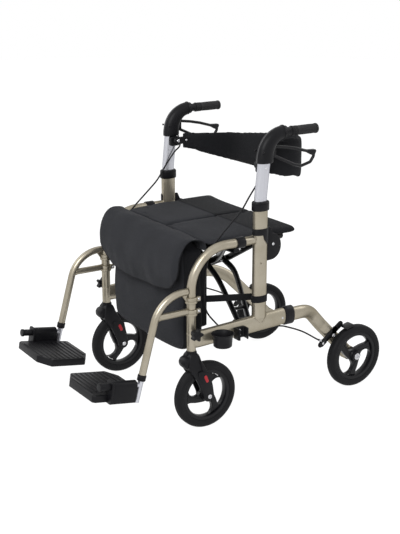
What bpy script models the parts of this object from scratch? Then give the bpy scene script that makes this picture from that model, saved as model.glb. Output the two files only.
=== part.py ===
"""Folding rollator with swing-away legrests, so that it also serves as a transport chair.

Metres, +Z up, the walker pushes it towards -Y. The left side (+X) is modelled and mirrored.
Sizes are laid out from the middle of the frame on the floor; the whole is shifted at the end,
so that the origin is under the middle of its bounding box.
"""

import math

import bmesh
import bpy
from mathutils import Matrix, Vector

# Clearances
GAP = 0.0003             # between pieces that touch
PLAY = 0.0005            # round a pin that turns or a tube that slides

# Wheels
WHEEL_RADIUS = 0.100
WHEEL_STEPS = 24
TYRE_HALF = 0.015
TREAD_HALF = 0.006
RIM_RADIUS = 0.0777
RIM_HALF = 0.0125
HUB_RADIUS = 0.0195
HUB_HALF = 0.017
WEB_HALF = 0.0065
SPOKES = 3
SPOKE_HALF = 0.0105
SPOKE_FLARE = 0.010      # added to the half width where a spoke meets the hub and the rim
WHEEL_TURNS = {"left": (-30, 49), "right": (27, 0)}     # front and rear wheel, in degrees
SPOKE_SWEEP = math.radians(34)
BAND_INNER = 0.0655
AXLE_RADIUS = 0.0075
REAR_AXLE_Y = 0.406

# Side frames
FRAME_X = 0.254
POST_Y = -0.200
POST_BOTTOM = 0.243
TUBE_RADIUS = 0.013
LOOP_TOP = 0.536
LOOP_BEND = 0.115
UPRIGHT_Y = 0.033
UPRIGHT_HALF_X = 0.015
UPRIGHT_HALF_Y = 0.023
UPRIGHT_WALL = 0.0025
UPRIGHT_RISE = 0.084     # from the loop's top tube up to the upright's mouth
UPRIGHT_TOP = LOOP_TOP + UPRIGHT_RISE
UPRIGHT_SOCKET = 0.260   # depth of the hollow that the handle post slides in
COLLAR_HEIGHT = 0.031
COLLAR_WALL = 0.0055
RAIL_HALF_X = 0.015
RAIL_HALF_Z = 0.025
RAIL_FRONT_Z = 0.272
RAIL_BACK_Y = 0.121
RAIL_BACK_Z = 0.286
RAIL_COLLAR_LENGTH = 0.032
RAIL_COLLAR_WALL = 0.0035
REAR_WHEEL_INSET = 0.0054
REAR_WHEEL_X = FRAME_X - REAR_WHEEL_INSET
LEG_HALF_X = 0.015
LEG_HALF_Z = 0.0205
LEG_TYRE_ROOM = 0.0031   # between the leg and the tyre, where the brake arm lies
LEG_X = REAR_WHEEL_X - TYRE_HALF - LEG_TYRE_ROOM - LEG_HALF_X
LEG_STRAIGHT = 0.111     # from the axle forward to the leg's last bend
LEG_BEND_Y = REAR_AXLE_Y - LEG_STRAIGHT
LEG_BEND = 0.12
LEG_SLOPE = 1.02
BOSS_RADIUS = 0.022
OVAL = 0.8               # fullness of the flattened tubes

# Casters
TRAIL = 0.046
FORK_HALF = 0.026
FORK_SLOT_HALF = 0.0178
FORK_WHEEL_ROOM = 0.007
FORK_NECK = 0.0045       # from the fork's crown up to the post
FORK_TOP = POST_BOTTOM - FORK_NECK
STEM_RADIUS = 0.0058
STEM_LENGTH = 0.030

# Handles
HANDLE_LEAN = math.radians(5.7)
HANDLE_INSERT = 0.160    # length of the post inside the upright
HANDLE_POST_BOTTOM = UPRIGHT_TOP - HANDLE_INSERT
HANDLE_BEND_RISE = 0.040
HANDLE_POST_BEND_Z = UPRIGHT_TOP + HANDLE_BEND_RISE
HANDLE_RISE = 0.218      # from the upright's mouth up to the middle of the grip
BAR_Z = UPRIGHT_TOP + HANDLE_RISE
POST_BELOW_BAR = 0.066
HANDLE_POST_TOP = BAR_Z - POST_BELOW_BAR
BAR_RADIUS = 0.0105
GRIP_SETBACK = 0.101
GRIP_LENGTH = 0.092
GRIP_WALL_END = 0.004
GRIP_START = UPRIGHT_Y + GRIP_SETBACK
GRIP_END = GRIP_START + GRIP_LENGTH
BAR_END = GRIP_END - GRIP_WALL_END
GRIP_RADIUS = 0.0138
GRIP_RIB = 0.0008
LEVER_SETBACK = 0.035
LEVER_BELOW_BAR = 0.048
LEVER_PIVOT = (UPRIGHT_Y + LEVER_SETBACK, BAR_Z - LEVER_BELOW_BAR)
LEVER_ROD = 0.0045
LEVER_SLOT_HALF = 0.0062
LEVER_ROOT_HALF = 0.0050
BACKREST_SETBACK = 0.014
BACKREST_BELOW_BAR = 0.094
BACKREST_PIVOT = (UPRIGHT_Y + BACKREST_SETBACK, BAR_Z - BACKREST_BELOW_BAR)
BACKREST_PIN = 0.005
BACKREST_INSET = 0.025
BACKREST_BRACKET_INNER = FRAME_X - BACKREST_INSET
BAND_INSET = 0.0095
BAND_DEPTH = 0.158       # behind the ends of its two arms
BAND_HEIGHT = 0.048      # at its two ends
BAND_ARM = 0.027         # from the hinge back to the cloth
BAND_RISE = 0.022        # its top edge climbs this much towards the middle
BAND_TILT = 0.028        # and hangs this much higher at its left corner, lower at its right one
BAND_DROP = 0.034

# Seat, cross braces and bag
PIVOT_INSET = 0.029
PIVOT_X = FRAME_X - PIVOT_INSET
PIVOT_Z = 0.285
HUB_FRONT = -0.0295
HUB_BACK = 0.0275
HUB_TUBE = 0.0105
HUB_PIN = 0.005
LUG = 0.0045
CROSS_Z = 0.405
CROSS_FRONT_Y = 0.020
CROSS_BACK_Y = 0.083
BAR_HALF_THICK = 0.006
BAR_HALF_HIGH = 0.010
BAR_SIDE_GAP = 0.0006    # half of the gap between two bars that cross
CROSS_PIN = 0.0045
SEAT_RAIL_INSET = 0.059
SEAT_RAIL_X = FRAME_X - SEAT_RAIL_INSET
SEAT_RAIL_DROP = 0.018   # below the loop's top tube
SEAT_RAIL_Z = LOOP_TOP - SEAT_RAIL_DROP
SEAT_RAIL_RADIUS = 0.0115
SEAT_RAIL_FRONT = -0.112
SEAT_RAIL_BACK = 0.152
SADDLE_Y = -0.038
SADDLE_HALF = 0.014
SEAT_SIDE_ROOM = 0.0028
SEAT_HALF = FRAME_X - UPRIGHT_HALF_X - SEAT_SIDE_ROOM
SEAT_FRONT = -0.131
SEAT_BACK = 0.183
SEAT_THICK = 0.0205
SEAT_CROWN = 0.004
SEAT_CORNER = 0.040
BAG_HALF = 0.204
BAG_BACK = -0.118
BAG_FRONT = -0.207
BAG_BOTTOM = 0.223
BAG_BELOW_SEAT = 0.008
BAG_TOP = SEAT_RAIL_Z + SEAT_RAIL_RADIUS + PLAY - BAG_BELOW_SEAT
FLAP_SIDE_ROOM = 0.015
FLAP_HALF = FRAME_X - TUBE_RADIUS - FLAP_SIDE_ROOM
FLAP_FRONT = -0.237
FLAP_BOTTOM = 0.388
STRAP_Z = 0.345
STRAP_HALF = 0.011
STRAP_THICK = 0.002

# Legrests
HANGER_RADIUS = 0.0105
HANGER_DROP = 0.116      # below the loop's top tube
HANGER_TOP_Z = LOOP_TOP - HANGER_DROP
HANGER_REACH = 0.1001
HANGER_KNEE_Y = POST_Y - HANGER_REACH
HANGER_BEND = 0.100
HANGER_LEAN = math.radians(15.6)
HANGER_END_Z = 0.213
HANGER_BAR_DROP = 0.059
HANGER_BAR_Z = HANGER_TOP_Z - HANGER_BAR_DROP
HANGER_BAR_RADIUS = 0.0095
RING_ZS = (HANGER_TOP_Z - 0.026, HANGER_BAR_Z - 0.003)
RING_HEIGHT = 0.018
RING_WALL = 0.0034
LEGREST_RADIUS = 0.008
LEGREST_DROP = 0.092     # from the hanger's knee down to the end of the tube inside it
LEGREST_TOP_Z = HANGER_TOP_Z - LEGREST_DROP
LEGREST_FOOT_Z = 0.127
STUB_RADIUS = 0.007
FOOT_AXIS_Z = 0.1845
FOOT_AHEAD = 0.054147    # from the legrest tube forward to the middle of the hinge
FOOT_AXIS_Y = HANGER_KNEE_Y - math.tan(HANGER_LEAN) * (HANGER_TOP_Z - FOOT_AXIS_Z) - FOOT_AHEAD
FOOT_PITCH = math.radians(9)
FOOT_DROP = 0.0245       # from the hinge axis down to the top of the plate
FOOT_THICK = 0.022
FOOT_WALL = 0.003
FOOT_INNER_X = 0.059
FOOT_BOX_HALF = 0.015

# Brakes and cables
BRAKE_AHEAD = 0.070      # from the axle forward and up to the arm's pivot
BRAKE_ABOVE = 0.074
BRAKE_PIVOT = (REAR_AXLE_Y - BRAKE_AHEAD, WHEEL_RADIUS + BRAKE_ABOVE)
BRAKE_PIN = 0.004
BRAKE_THICK = 0.0024
SHOE_GAP = 0.0030
SHOE_THICK = 0.006
CABLE_RADIUS = 0.0025
CABLE_STEP = 0.015

# Accessories
KNOB_Z = 0.298
KNOB_RADIUS = 0.019
KNOB_LOBES = 5
CUP_Y = -0.125
CUP_BOTTOM = 0.255
CUP_TOP = 0.295
CUP_RADIUS = 0.028
CUP_RIM = 0.033
CUP_WALL = 0.003
CUP_STANDOFF = 0.005
CUP_X = FRAME_X + RAIL_HALF_X + CUP_STANDOFF + CUP_RADIUS
CLIP_Y = -0.048
CLIP_HALF_Y = 0.018
CLIP_REACH = 0.022
CLIP_BOTTOM = 0.257
CLIP_HEIGHT = 0.033

FINISHES = {
    "champagne": ((0.56, 0.50, 0.38), 0.35, 0.85),
    "silver": ((0.80, 0.81, 0.83), 0.22, 1.0),
    "black": ((0.020, 0.020, 0.022), 0.45, 0.0),
    "rubber": ((0.026, 0.026, 0.027), 0.75, 0.0),
    "nylon": ((0.050, 0.052, 0.056), 0.85, 0.0),
    "grey": ((0.25, 0.25, 0.26), 0.5, 0.0),
}

X_AXIS = (1, 0, 0)
Y_AXIS = (0, 1, 0)
Z_AXIS = (0, 0, 1)
SIDE_ON = Matrix(((0, 0, 1, 0), (1, 0, 0, 0), (0, 1, 0, 0), (0, 0, 0, 1)))
END_ON = Matrix(((1, 0, 0, 0), (0, 0, 1, 0), (0, 1, 0, 0), (0, 0, 0, 1)))
PLAN = Matrix.Identity(4)


def clear_scene():
    for thing in list(bpy.data.objects):
        bpy.data.objects.remove(thing, do_unlink=True)


# Shapes


def bore(radius, sides=12, play=PLAY):
    """Corner radius of a faceted hole whose flats clear a pin of this radius."""
    return (radius + play) / math.cos(math.pi / sides)


def section(shape, at, along, across, half_across, half_up, sides, power):
    """One closed oval of points square to along."""
    along = Vector(along).normalized()
    across = Vector(across)
    across = (across - along * across.dot(along)).normalized()
    up = along.cross(across)
    points = bmesh.ops.create_circle(shape, segments=sides, radius=1.0)["verts"]
    edges = list({edge for point in points for edge in point.link_edges})
    turn = Matrix.Rotation(math.pi / sides, 3, "Z")
    for point in points:
        local = turn @ point.co
        a, b = (math.copysign(abs(value) ** power, value) for value in local.xy)
        point.co = Vector(at) + across * (a * half_across) + up * (b * half_up)
    return points, edges


def loft(stations, sides=12, power=1.0, across=X_AXIS):
    """Solid through stations of (centre, direction, half across, half up)."""
    shape = bmesh.new()
    rings = [
        section(shape, at, along, across, half_across, half_up, sides, power)
        for at, along, half_across, half_up in stations
    ]
    for (_, first), (_, second) in zip(rings, rings[1:]):
        bmesh.ops.bridge_loops(shape, edges=first + second)
    for points, _ in (rings[0], rings[-1]):
        shape.faces.new(points)
    bmesh.ops.recalc_face_normals(shape, faces=shape.faces)
    return shape


def route(corners, bend, steps):
    """(point, direction) along straight runs joined by arcs of the radius bend."""
    corners = [Vector(corner) for corner in corners]
    stations = [(corners[0], (corners[1] - corners[0]).normalized())]
    for before, corner, after in zip(corners, corners[1:], corners[2:]):
        way_in = (corner - before).normalized()
        way_out = (after - corner).normalized()
        angle = way_in.angle(way_out)
        reach = bend * math.tan(angle / 2)
        axis = way_in.cross(way_out).normalized()
        start = corner - way_in * reach
        centre = start + axis.cross(way_in) * bend
        for step in range(steps + 1):
            turn = Matrix.Rotation(angle * step / steps, 3, axis)
            stations.append((centre + turn @ (start - centre), turn @ way_in))
    stations.append((corners[-1], (corners[-1] - corners[-2]).normalized()))
    return stations


def tube(corners, half_across, half_up, bend=0.05, steps=5, sides=12, power=1.0, across=X_AXIS):
    """Bent tube of one section."""
    stations = [(at, along, half_across, half_up) for at, along in route(corners, bend, steps)]
    return loft(stations, sides, power, across)


def rod(start, end, radius, sides=12, across=X_AXIS):
    """Straight round bar."""
    along = Vector(end) - Vector(start)
    if abs(along.normalized().dot(Vector(across))) > 0.9:
        across = Z_AXIS
    return loft([(start, along, radius, radius), (end, along, radius, radius)], sides, 1.0, across)


def turned(profile, at, axis=X_AXIS, steps=16):
    """Profile of (along, radius) spun about the axis through at; it is closed off the axis."""
    shape = bmesh.new()
    axis = Vector(axis)
    out = Vector(Y_AXIS) if abs(axis.z) > 0.9 else Vector(Z_AXIS)
    out = Matrix.Rotation(math.pi / steps, 3, axis) @ out
    at = Vector(at)
    points = [shape.verts.new(at + axis * along + out * radius) for along, radius in profile]
    edges = [shape.edges.new(pair) for pair in zip(points, points[1:])]
    if profile[0][1] > 0 and profile[-1][1] > 0:
        edges.append(shape.edges.new((points[-1], points[0])))
    bmesh.ops.spin(
        shape, geom=points + edges, cent=at, axis=axis,
        angle=2 * math.pi, steps=steps, use_merge=True,
    )
    bmesh.ops.remove_doubles(shape, verts=shape.verts, dist=1e-6)
    bmesh.ops.recalc_face_normals(shape, faces=shape.faces)
    return shape


def plate(outline, low, high, space=SIDE_ON):
    """Outline extruded from low to high along the third direction of space."""
    shape = bmesh.new()
    face = shape.faces.new([shape.verts.new((a, b, low)) for a, b in outline])
    moved = bmesh.ops.extrude_face_region(shape, geom=[face])["geom"]
    for point in moved:
        if isinstance(point, bmesh.types.BMVert):
            point.co.z = high
    bmesh.ops.transform(shape, matrix=space, verts=shape.verts)
    bmesh.ops.recalc_face_normals(shape, faces=shape.faces)
    return shape


def rounded(corners, radius, steps=3):
    """Outline with its corners rounded."""
    points = [Vector((a, b, 0)) for a, b in corners]
    outline = []
    for index, corner in enumerate(points):
        way_in = (corner - points[index - 1]).normalized()
        way_out = (points[(index + 1) % len(points)] - corner).normalized()
        angle = way_in.angle(way_out)
        if angle < 0.05:
            outline.append(corner.xy[:])
            continue
        axis = way_in.cross(way_out).normalized()
        start = corner - way_in * (radius * math.tan(angle / 2))
        centre = start + axis.cross(way_in) * radius
        for step in range(steps + 1):
            turn = Matrix.Rotation(angle * step / steps, 3, axis)
            outline.append((centre + turn @ (start - centre)).xy[:])
    return outline


def link(first, second, radius_first, radius_second, steps=5):
    """Outline of a flat link round two eyes."""
    first, second = Vector(first), Vector(second)
    heading = math.atan2(second.y - first.y, second.x - first.x)
    outline = []
    for centre, radius, start in ((first, radius_first, 0.5), (second, radius_second, -0.5)):
        for step in range(steps + 1):
            angle = heading + math.pi * (start + step / steps)
            outline.append((centre.x + radius * math.cos(angle), centre.y + radius * math.sin(angle)))
    return outline


def soften(shape, width, segments=1, over=50):
    """Bevels the edges that turn by more than the angle over, in degrees."""
    edges = [edge for edge in shape.edges if edge.calc_face_angle(0) > math.radians(over)]
    bmesh.ops.bevel(
        shape, geom=edges, offset=width, segments=segments, affect="EDGES",
        profile=0.5, clamp_overlap=True,
    )
    return shape


def together(*shapes):
    """Several solids as one mesh."""
    whole = bmesh.new()
    for shape in shapes:
        held = bpy.data.meshes.new("held")
        shape.to_mesh(held)
        whole.from_mesh(held)
        shape.free()
        bpy.data.meshes.remove(held)
    return whole


# Objects


class Carrier:
    """A rigid body: an empty on the axis that the body moves about."""

    def __init__(self, name, parent, at):
        self.at = Vector(at)
        self.empty = bpy.data.objects.new(name, None)
        self.empty.empty_display_size = 0.03
        bpy.context.scene.collection.objects.link(self.empty)
        if parent is not None:
            self.empty.parent = parent.empty
            self.empty.location = self.at - parent.at
        else:
            self.empty.location = self.at


class Side:
    """One side of the rollator: what it makes is drawn on the left and mirrored for the right."""

    def __init__(self, name, sign):
        self.name = name
        self.sign = sign
        self.carriers = {}

    def at(self, x, y, z):
        return Vector((self.sign * x, y, z))

    def carrier(self, name, parent, at):
        parent = self.carriers.get(parent, parent)
        self.carriers[name] = Carrier(f"{self.name}_{name}_pivot", parent, self.at(*at))

    def node(self, name, finish, carrier, shape):
        return make_node(f"{self.name}_{name}", finish, self.carriers[carrier], shape, self.sign)


def mesh_of(name, shape, carrier, sign):
    """The shape as a mesh whose origin is the carrier's, mirrored where sign is -1."""
    mesh = bpy.data.meshes.new(name)
    if sign < 0:
        bmesh.ops.transform(shape, matrix=Matrix.Scale(-1, 4, X_AXIS), verts=shape.verts)
        bmesh.ops.reverse_faces(shape, faces=shape.faces)
    shape.to_mesh(mesh)
    shape.free()
    mesh.transform(Matrix.Translation(-carrier.at))
    return mesh


def material_for(name, finish):
    colour, roughness, metallic = FINISHES[finish]
    material = bpy.data.materials.new(name)
    material.use_nodes = True
    shader = material.node_tree.nodes["Principled BSDF"]
    shader.inputs["Base Color"].default_value = (*colour, 1.0)
    shader.inputs["Roughness"].default_value = roughness
    shader.inputs["Metallic"].default_value = metallic
    return material


def make_node(name, finish, carrier, shape, sign=1):
    mesh = mesh_of(name, shape, carrier, sign)
    mesh.shade_smooth()
    mesh.set_sharp_from_angle(angle=math.radians(35))
    mesh.materials.append(material_for(name, finish))
    thing = bpy.data.objects.new(name, mesh)
    thing.parent = carrier.empty
    bpy.context.scene.collection.objects.link(thing)
    thing["sign"] = sign
    return thing


def change(thing, shape, operation, carrier):
    """Adds a Boolean with a hidden helper, drawn and mirrored as the object is."""
    count = len(thing.modifiers) + 1
    name = f"{thing.name}_helper_{count}"
    helper = bpy.data.objects.new(name, mesh_of(name, shape, carrier, thing["sign"]))
    helper.parent = carrier.empty
    helper.hide_render = True
    helper.display_type = "WIRE"
    bpy.context.scene.collection.objects.link(helper)
    modifier = thing.modifiers.new(f"{operation.lower()}_{count}", "BOOLEAN")
    modifier.operation = operation
    modifier.solver = "EXACT"
    modifier.object = helper


def carrier_of(thing):
    return next(held for held in all_carriers() if held.empty == thing.parent)


def all_carriers():
    return [held for side in SIDES for held in side.carriers.values()] + list(MIDDLE.values())


def cut(thing, shape):
    change(thing, shape, "DIFFERENCE", carrier_of(thing))


def join(thing, shape):
    change(thing, shape, "UNION", carrier_of(thing))


# Shared forms, which a neighbour also uses as its cutter


def rail_z(y):
    """Height of the lower rail's middle."""
    share = (y - POST_Y) / (RAIL_BACK_Y - POST_Y)
    return RAIL_FRONT_Z + share * (RAIL_BACK_Z - RAIL_FRONT_Z)


def rail_form(grow=0.0):
    slope = (0, RAIL_BACK_Y - POST_Y, RAIL_BACK_Z - RAIL_FRONT_Z)
    front_y = POST_Y + 0.004
    full_y = front_y + 0.026
    stations = [
        ((FRAME_X, front_y, rail_z(front_y)), slope, 0.0122 + grow, RAIL_HALF_Z - 0.0015 + grow),
        ((FRAME_X, full_y, rail_z(full_y)), slope, RAIL_HALF_X + grow, RAIL_HALF_Z + grow),
        ((FRAME_X, RAIL_BACK_Y, RAIL_BACK_Z), Y_AXIS, RAIL_HALF_X + grow, RAIL_HALF_Z + grow),
    ]
    return loft(stations, sides=12, power=OVAL)


def upright_form(low, high, half_x, half_y):
    return rounded_post((FRAME_X, UPRIGHT_Y, low), (FRAME_X, UPRIGHT_Y, high), half_x, half_y)


def rounded_post(start, end, half_x, half_y):
    along = Vector(end) - Vector(start)
    stations = [(start, along, half_x, half_y), (end, along, half_x, half_y)]
    return loft(stations, sides=12, power=OVAL)


def loop_tube(grow=0.0):
    corners = [
        (FRAME_X, POST_Y, POST_BOTTOM),
        (FRAME_X, POST_Y, LOOP_TOP),
        (FRAME_X, UPRIGHT_Y, LOOP_TOP),
    ]
    radius = TUBE_RADIUS + grow
    return tube(corners, radius, radius, bend=LOOP_BEND, steps=6)


def handle_post_form(grow=0.0):
    inner_x = UPRIGHT_HALF_X - UPRIGHT_WALL - PLAY + grow
    inner_y = UPRIGHT_HALF_Y - UPRIGHT_WALL - PLAY + grow
    top = HANDLE_POST_TOP + grow
    lean = (top - HANDLE_POST_BEND_Z) * math.tan(HANDLE_LEAN)
    corners = [
        (FRAME_X, UPRIGHT_Y, HANDLE_POST_BOTTOM - grow),
        (FRAME_X, UPRIGHT_Y, HANDLE_POST_BEND_Z),
        (FRAME_X, UPRIGHT_Y + lean, top),
    ]
    return tube(corners, inner_x, inner_y, bend=0.2, steps=2, sides=12, power=OVAL)


def foot_space():
    """Axes of the footplate: sideways, forward along the plate, and square to it."""
    c, s = math.cos(FOOT_PITCH), math.sin(FOOT_PITCH)
    return Matrix(((1, 0, 0, 0), (0, -c, s, FOOT_AXIS_Y), (0, s, c, FOOT_AXIS_Z), (0, 0, 0, 1)))


def foot_point(x, forward, up=0.0):
    return foot_space() @ Vector((x, forward, up))


def leg_line(z):
    """Point of the legrest tube's straight run at this height."""
    knee = Vector((FRAME_X, HANGER_KNEE_Y, HANGER_TOP_Z))
    return knee + Vector((0, -math.tan(HANGER_LEAN), -1)) * (HANGER_TOP_Z - z)


# Wheels


def spoke_outline(index, centre, turn):
    """Swept spoke that flares into the hub and into the rim, so that the openings are round-ended."""
    sides = ([], [])
    steps = 5
    for step in range(steps + 1):
        share = step / steps
        radius = HUB_RADIUS - 0.003 + share * (BAND_INNER + 0.004 - HUB_RADIUS)
        half = SPOKE_HALF + SPOKE_FLARE * abs(2 * share - 1) ** 3
        heading = turn + 2 * math.pi * index / SPOKES - SPOKE_SWEEP * share
        for side, sign in zip(sides, (1, -1)):
            angle = heading + sign * math.asin(min(half / radius, 0.95))
            side.append((centre[0] + radius * math.cos(angle), centre[1] + radius * math.sin(angle)))
    return sides[0] + sides[1][::-1]


def wheel(side, kind, carrier, centre, turn):
    """Rim with three openings and the tyre on it."""
    x, y, z = centre
    band = [
        (-RIM_HALF, BAND_INNER), (-RIM_HALF, RIM_RADIUS), (RIM_HALF, RIM_RADIUS), (RIM_HALF, BAND_INNER),
    ]
    rim = side.node(f"{kind}_rim", "black", carrier, turned(band, centre, steps=WHEEL_STEPS))
    for index in range(SPOKES):
        join(rim, plate(spoke_outline(index, (y, z), turn), x - WEB_HALF, x + WEB_HALF))
    hub = [
        (-HUB_HALF, 0), (-HUB_HALF, HUB_RADIUS - 0.003), (-WEB_HALF, HUB_RADIUS),
        (WEB_HALF, HUB_RADIUS), (HUB_HALF, HUB_RADIUS - 0.003), (HUB_HALF, 0),
    ]
    join(rim, turned(hub, centre, steps=12))
    cut(rim, rod((x - 0.03, y, z), (x + 0.03, y, z), bore(AXLE_RADIUS)))
    corner = 1 / math.cos(math.pi / WHEEL_STEPS)
    seat, tread = RIM_RADIUS * corner + GAP, WHEEL_RADIUS * corner
    profile = [
        (-RIM_HALF, seat), (-TYRE_HALF, seat + 0.009), (-TREAD_HALF, tread),
        (TREAD_HALF, tread), (TYRE_HALF, seat + 0.009), (RIM_HALF, seat),
    ]
    side.node(f"{kind}_tyre", "rubber", carrier, turned(profile, centre, steps=WHEEL_STEPS))


# Side frame


def front_loop(side):
    loop = side.node("front_loop", "champagne", "frame", loop_tube())
    cut(loop, upright_form(LOOP_TOP - 0.05, LOOP_TOP + 0.05, UPRIGHT_HALF_X + GAP, UPRIGHT_HALF_Y + GAP))
    top = POST_BOTTOM + STEM_LENGTH + 0.004
    cut(loop, rod((FRAME_X, POST_Y, POST_BOTTOM - 0.01), (FRAME_X, POST_Y, top), bore(STEM_RADIUS)))


def lower_rail(side):
    rail = side.node("lower_rail", "champagne", "frame", rail_form())
    lugs = [
        plate(link((PIVOT_X, PIVOT_Z), (FRAME_X - 0.004, PIVOT_Z), 0.0095, 0.012), low, low + LUG, END_ON)
        for low in (HUB_FRONT - GAP - LUG, HUB_BACK + GAP)
    ]
    for lug in lugs:
        join(rail, lug)
    front, back = HUB_FRONT - GAP - LUG / 2, HUB_BACK + GAP + LUG / 2
    join(rail, rod((PIVOT_X, front, PIVOT_Z), (PIVOT_X, back, PIVOT_Z), HUB_PIN))
    cut(rail, rod((FRAME_X, POST_Y, 0.2), (FRAME_X, POST_Y, 0.4), TUBE_RADIUS + GAP))


def upright(side):
    foot = rail_z(UPRIGHT_Y) + RAIL_HALF_Z * 0.66
    form = upright_form(foot, UPRIGHT_TOP, UPRIGHT_HALF_X, UPRIGHT_HALF_Y)
    post = side.node("upright", "champagne", "frame", form)
    cut(post, rail_form(GAP))
    inner_x, inner_y = UPRIGHT_HALF_X - UPRIGHT_WALL, UPRIGHT_HALF_Y - UPRIGHT_WALL
    cut(post, upright_form(UPRIGHT_TOP - UPRIGHT_SOCKET, UPRIGHT_TOP + 0.01, inner_x, inner_y))


def upright_collar(side):
    low, high = UPRIGHT_TOP + GAP, UPRIGHT_TOP + COLLAR_HEIGHT
    half_x, half_y = UPRIGHT_HALF_X + COLLAR_WALL - 0.0005, UPRIGHT_HALF_Y + COLLAR_WALL
    sizes = ((low, 0.0015), (low + 0.003, 0.0), (high - 0.005, 0.0), (high, 0.0025))
    stations = [
        ((FRAME_X, UPRIGHT_Y, z), Z_AXIS, half_x - less, half_y - less) for z, less in sizes
    ]
    collar = side.node("upright_collar", "black", "frame", loft(stations, sides=12, power=OVAL))
    inner_x, inner_y = UPRIGHT_HALF_X - UPRIGHT_WALL, UPRIGHT_HALF_Y - UPRIGHT_WALL
    cut(collar, upright_form(low - 0.01, high + 0.01, inner_x, inner_y))


def rail_collar(side):
    start, end = RAIL_BACK_Y + GAP, RAIL_BACK_Y + RAIL_COLLAR_LENGTH
    half_x, half_z = RAIL_HALF_X + RAIL_COLLAR_WALL, RAIL_HALF_Z + RAIL_COLLAR_WALL
    sizes = ((start, 0.002), (start + 0.004, 0.0), (end - 0.004, 0.0), (end, 0.002))
    stations = [
        ((FRAME_X, y, RAIL_BACK_Z), Y_AXIS, half_x - less, half_z - less) for y, less in sizes
    ]
    side.node("rail_collar", "black", "frame", loft(stations, sides=12, power=OVAL))


def rear_leg(side):
    knee_y = REAR_AXLE_Y - (RAIL_BACK_Z - WHEEL_RADIUS) / LEG_SLOPE
    corners = [
        (FRAME_X, RAIL_BACK_Y + RAIL_COLLAR_LENGTH + GAP, RAIL_BACK_Z),
        (FRAME_X, knee_y, RAIL_BACK_Z),
        (LEG_X, LEG_BEND_Y, WHEEL_RADIUS + (REAR_AXLE_Y - LEG_BEND_Y) * LEG_SLOPE),
        (LEG_X, REAR_AXLE_Y, WHEEL_RADIUS),
    ]
    form = tube(corners, LEG_HALF_X, LEG_HALF_Z, bend=LEG_BEND, steps=3, sides=12, power=OVAL)
    leg = side.node("rear_leg", "champagne", "frame", form)
    inner, outer = LEG_X - LEG_HALF_X, LEG_X + LEG_HALF_X
    hub_in, hub_out = REAR_WHEEL_X - HUB_HALF, REAR_WHEEL_X + HUB_HALF
    axle = [
        (inner, 0), (inner, BOSS_RADIUS - 0.002), (inner + 0.002, BOSS_RADIUS), (outer, BOSS_RADIUS),
        (outer, 0.011), (hub_in - PLAY, 0.011), (hub_in - PLAY, AXLE_RADIUS),
        (hub_out + PLAY, AXLE_RADIUS), (hub_out + PLAY, 0.0105), (hub_out + 0.005, 0.009),
        (hub_out + 0.005, 0),
    ]
    join(leg, turned(axle, (0, REAR_AXLE_Y, WHEEL_RADIUS), steps=12))
    pin_start, pin_end = LEG_X, brake_face() + BRAKE_THICK
    y, z = BRAKE_PIVOT
    join(leg, rod((pin_start, y, z), (pin_end, y, z), BRAKE_PIN))


def brake_face():
    """Inner face of the brake arm, just outside the leg."""
    return LEG_X + LEG_HALF_X + GAP


def seat_clip(side):
    """Saddle on the loop that the seat rail drops into."""
    start, end = SADDLE_Y - SADDLE_HALF, SADDLE_Y + SADDLE_HALF
    outer, inner = TUBE_RADIUS + 0.0032, TUBE_RADIUS + GAP
    band = rod((FRAME_X, start, LOOP_TOP), (FRAME_X, end, LOOP_TOP), outer)
    clip = side.node("seat_clip", "black", "frame", band)
    low = SEAT_RAIL_Z - SEAT_RAIL_RADIUS - 0.006
    seat_under = SEAT_RAIL_Z + SEAT_RAIL_RADIUS - 0.001
    arm = [
        (FRAME_X - 0.0065, LOOP_TOP - 0.0135), (FRAME_X - 0.0095, low + 0.003),
        (SEAT_RAIL_X + 0.0055, low), (SEAT_RAIL_X + 0.0055, low + 0.012),
        (SEAT_RAIL_X + 0.0125, seat_under), (FRAME_X - 0.0175, seat_under),
    ]
    join(clip, plate(arm, start + 0.001, end - 0.001, END_ON))
    for x, z, radius in (
        (FRAME_X, LOOP_TOP, inner),
        (SEAT_RAIL_X, SEAT_RAIL_Z, SEAT_RAIL_RADIUS + GAP),
    ):
        cut(clip, rod((x, start - 0.01, z), (x, end + 0.01, z), radius))


def seat_bracket(side):
    """Clamp round the upright, above the loop, with a D-shaped plate hanging behind it."""
    wall = 0.0025
    low = LOOP_TOP + TUBE_RADIUS + 0.0007
    high, cheek = low + 0.0185, low - 0.028
    back = UPRIGHT_Y + UPRIGHT_HALF_Y
    band = side.node(
        "seat_bracket", "black", "frame",
        upright_form(cheek, high, UPRIGHT_HALF_X + wall, UPRIGHT_HALF_Y + wall),
    )
    front = [
        (UPRIGHT_Y - 0.05, cheek - 0.01), (UPRIGHT_Y - 0.05, low), (back - 0.022, low),
        (back - 0.018, low - 0.014), (back - 0.010, low - 0.023), (back + 0.004, cheek - 0.01),
    ]
    cut(band, plate(front, FRAME_X - 0.04, FRAME_X + 0.04))
    inner = [
        (UPRIGHT_Y - 0.05, cheek - 0.01), (back + 0.01, cheek - 0.01),
        (back + 0.01, high + 0.01), (UPRIGHT_Y - 0.05, high + 0.01),
    ]
    cut(band, plate(inner, FRAME_X - 0.04, FRAME_X - 0.0035))
    edge = back + 0.0012
    middle_z, half_z, reach = LOOP_TOP - 0.028, 0.041, 0.050
    outline = [(edge, middle_z - half_z), (edge, high - 0.001), (edge + 0.010, high - 0.001)]
    for step in range(9):
        angle = math.pi * (0.42 - 0.84 * step / 8)
        outline.append((edge + reach * math.cos(angle) ** 0.7, middle_z + half_z * math.sin(angle)))
    join(band, soften(plate(outline, FRAME_X - 0.0025, FRAME_X + 0.0025), 0.001))
    cut(band, upright_form(cheek - 0.05, high + 0.05, UPRIGHT_HALF_X + GAP, UPRIGHT_HALF_Y + GAP))


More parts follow.
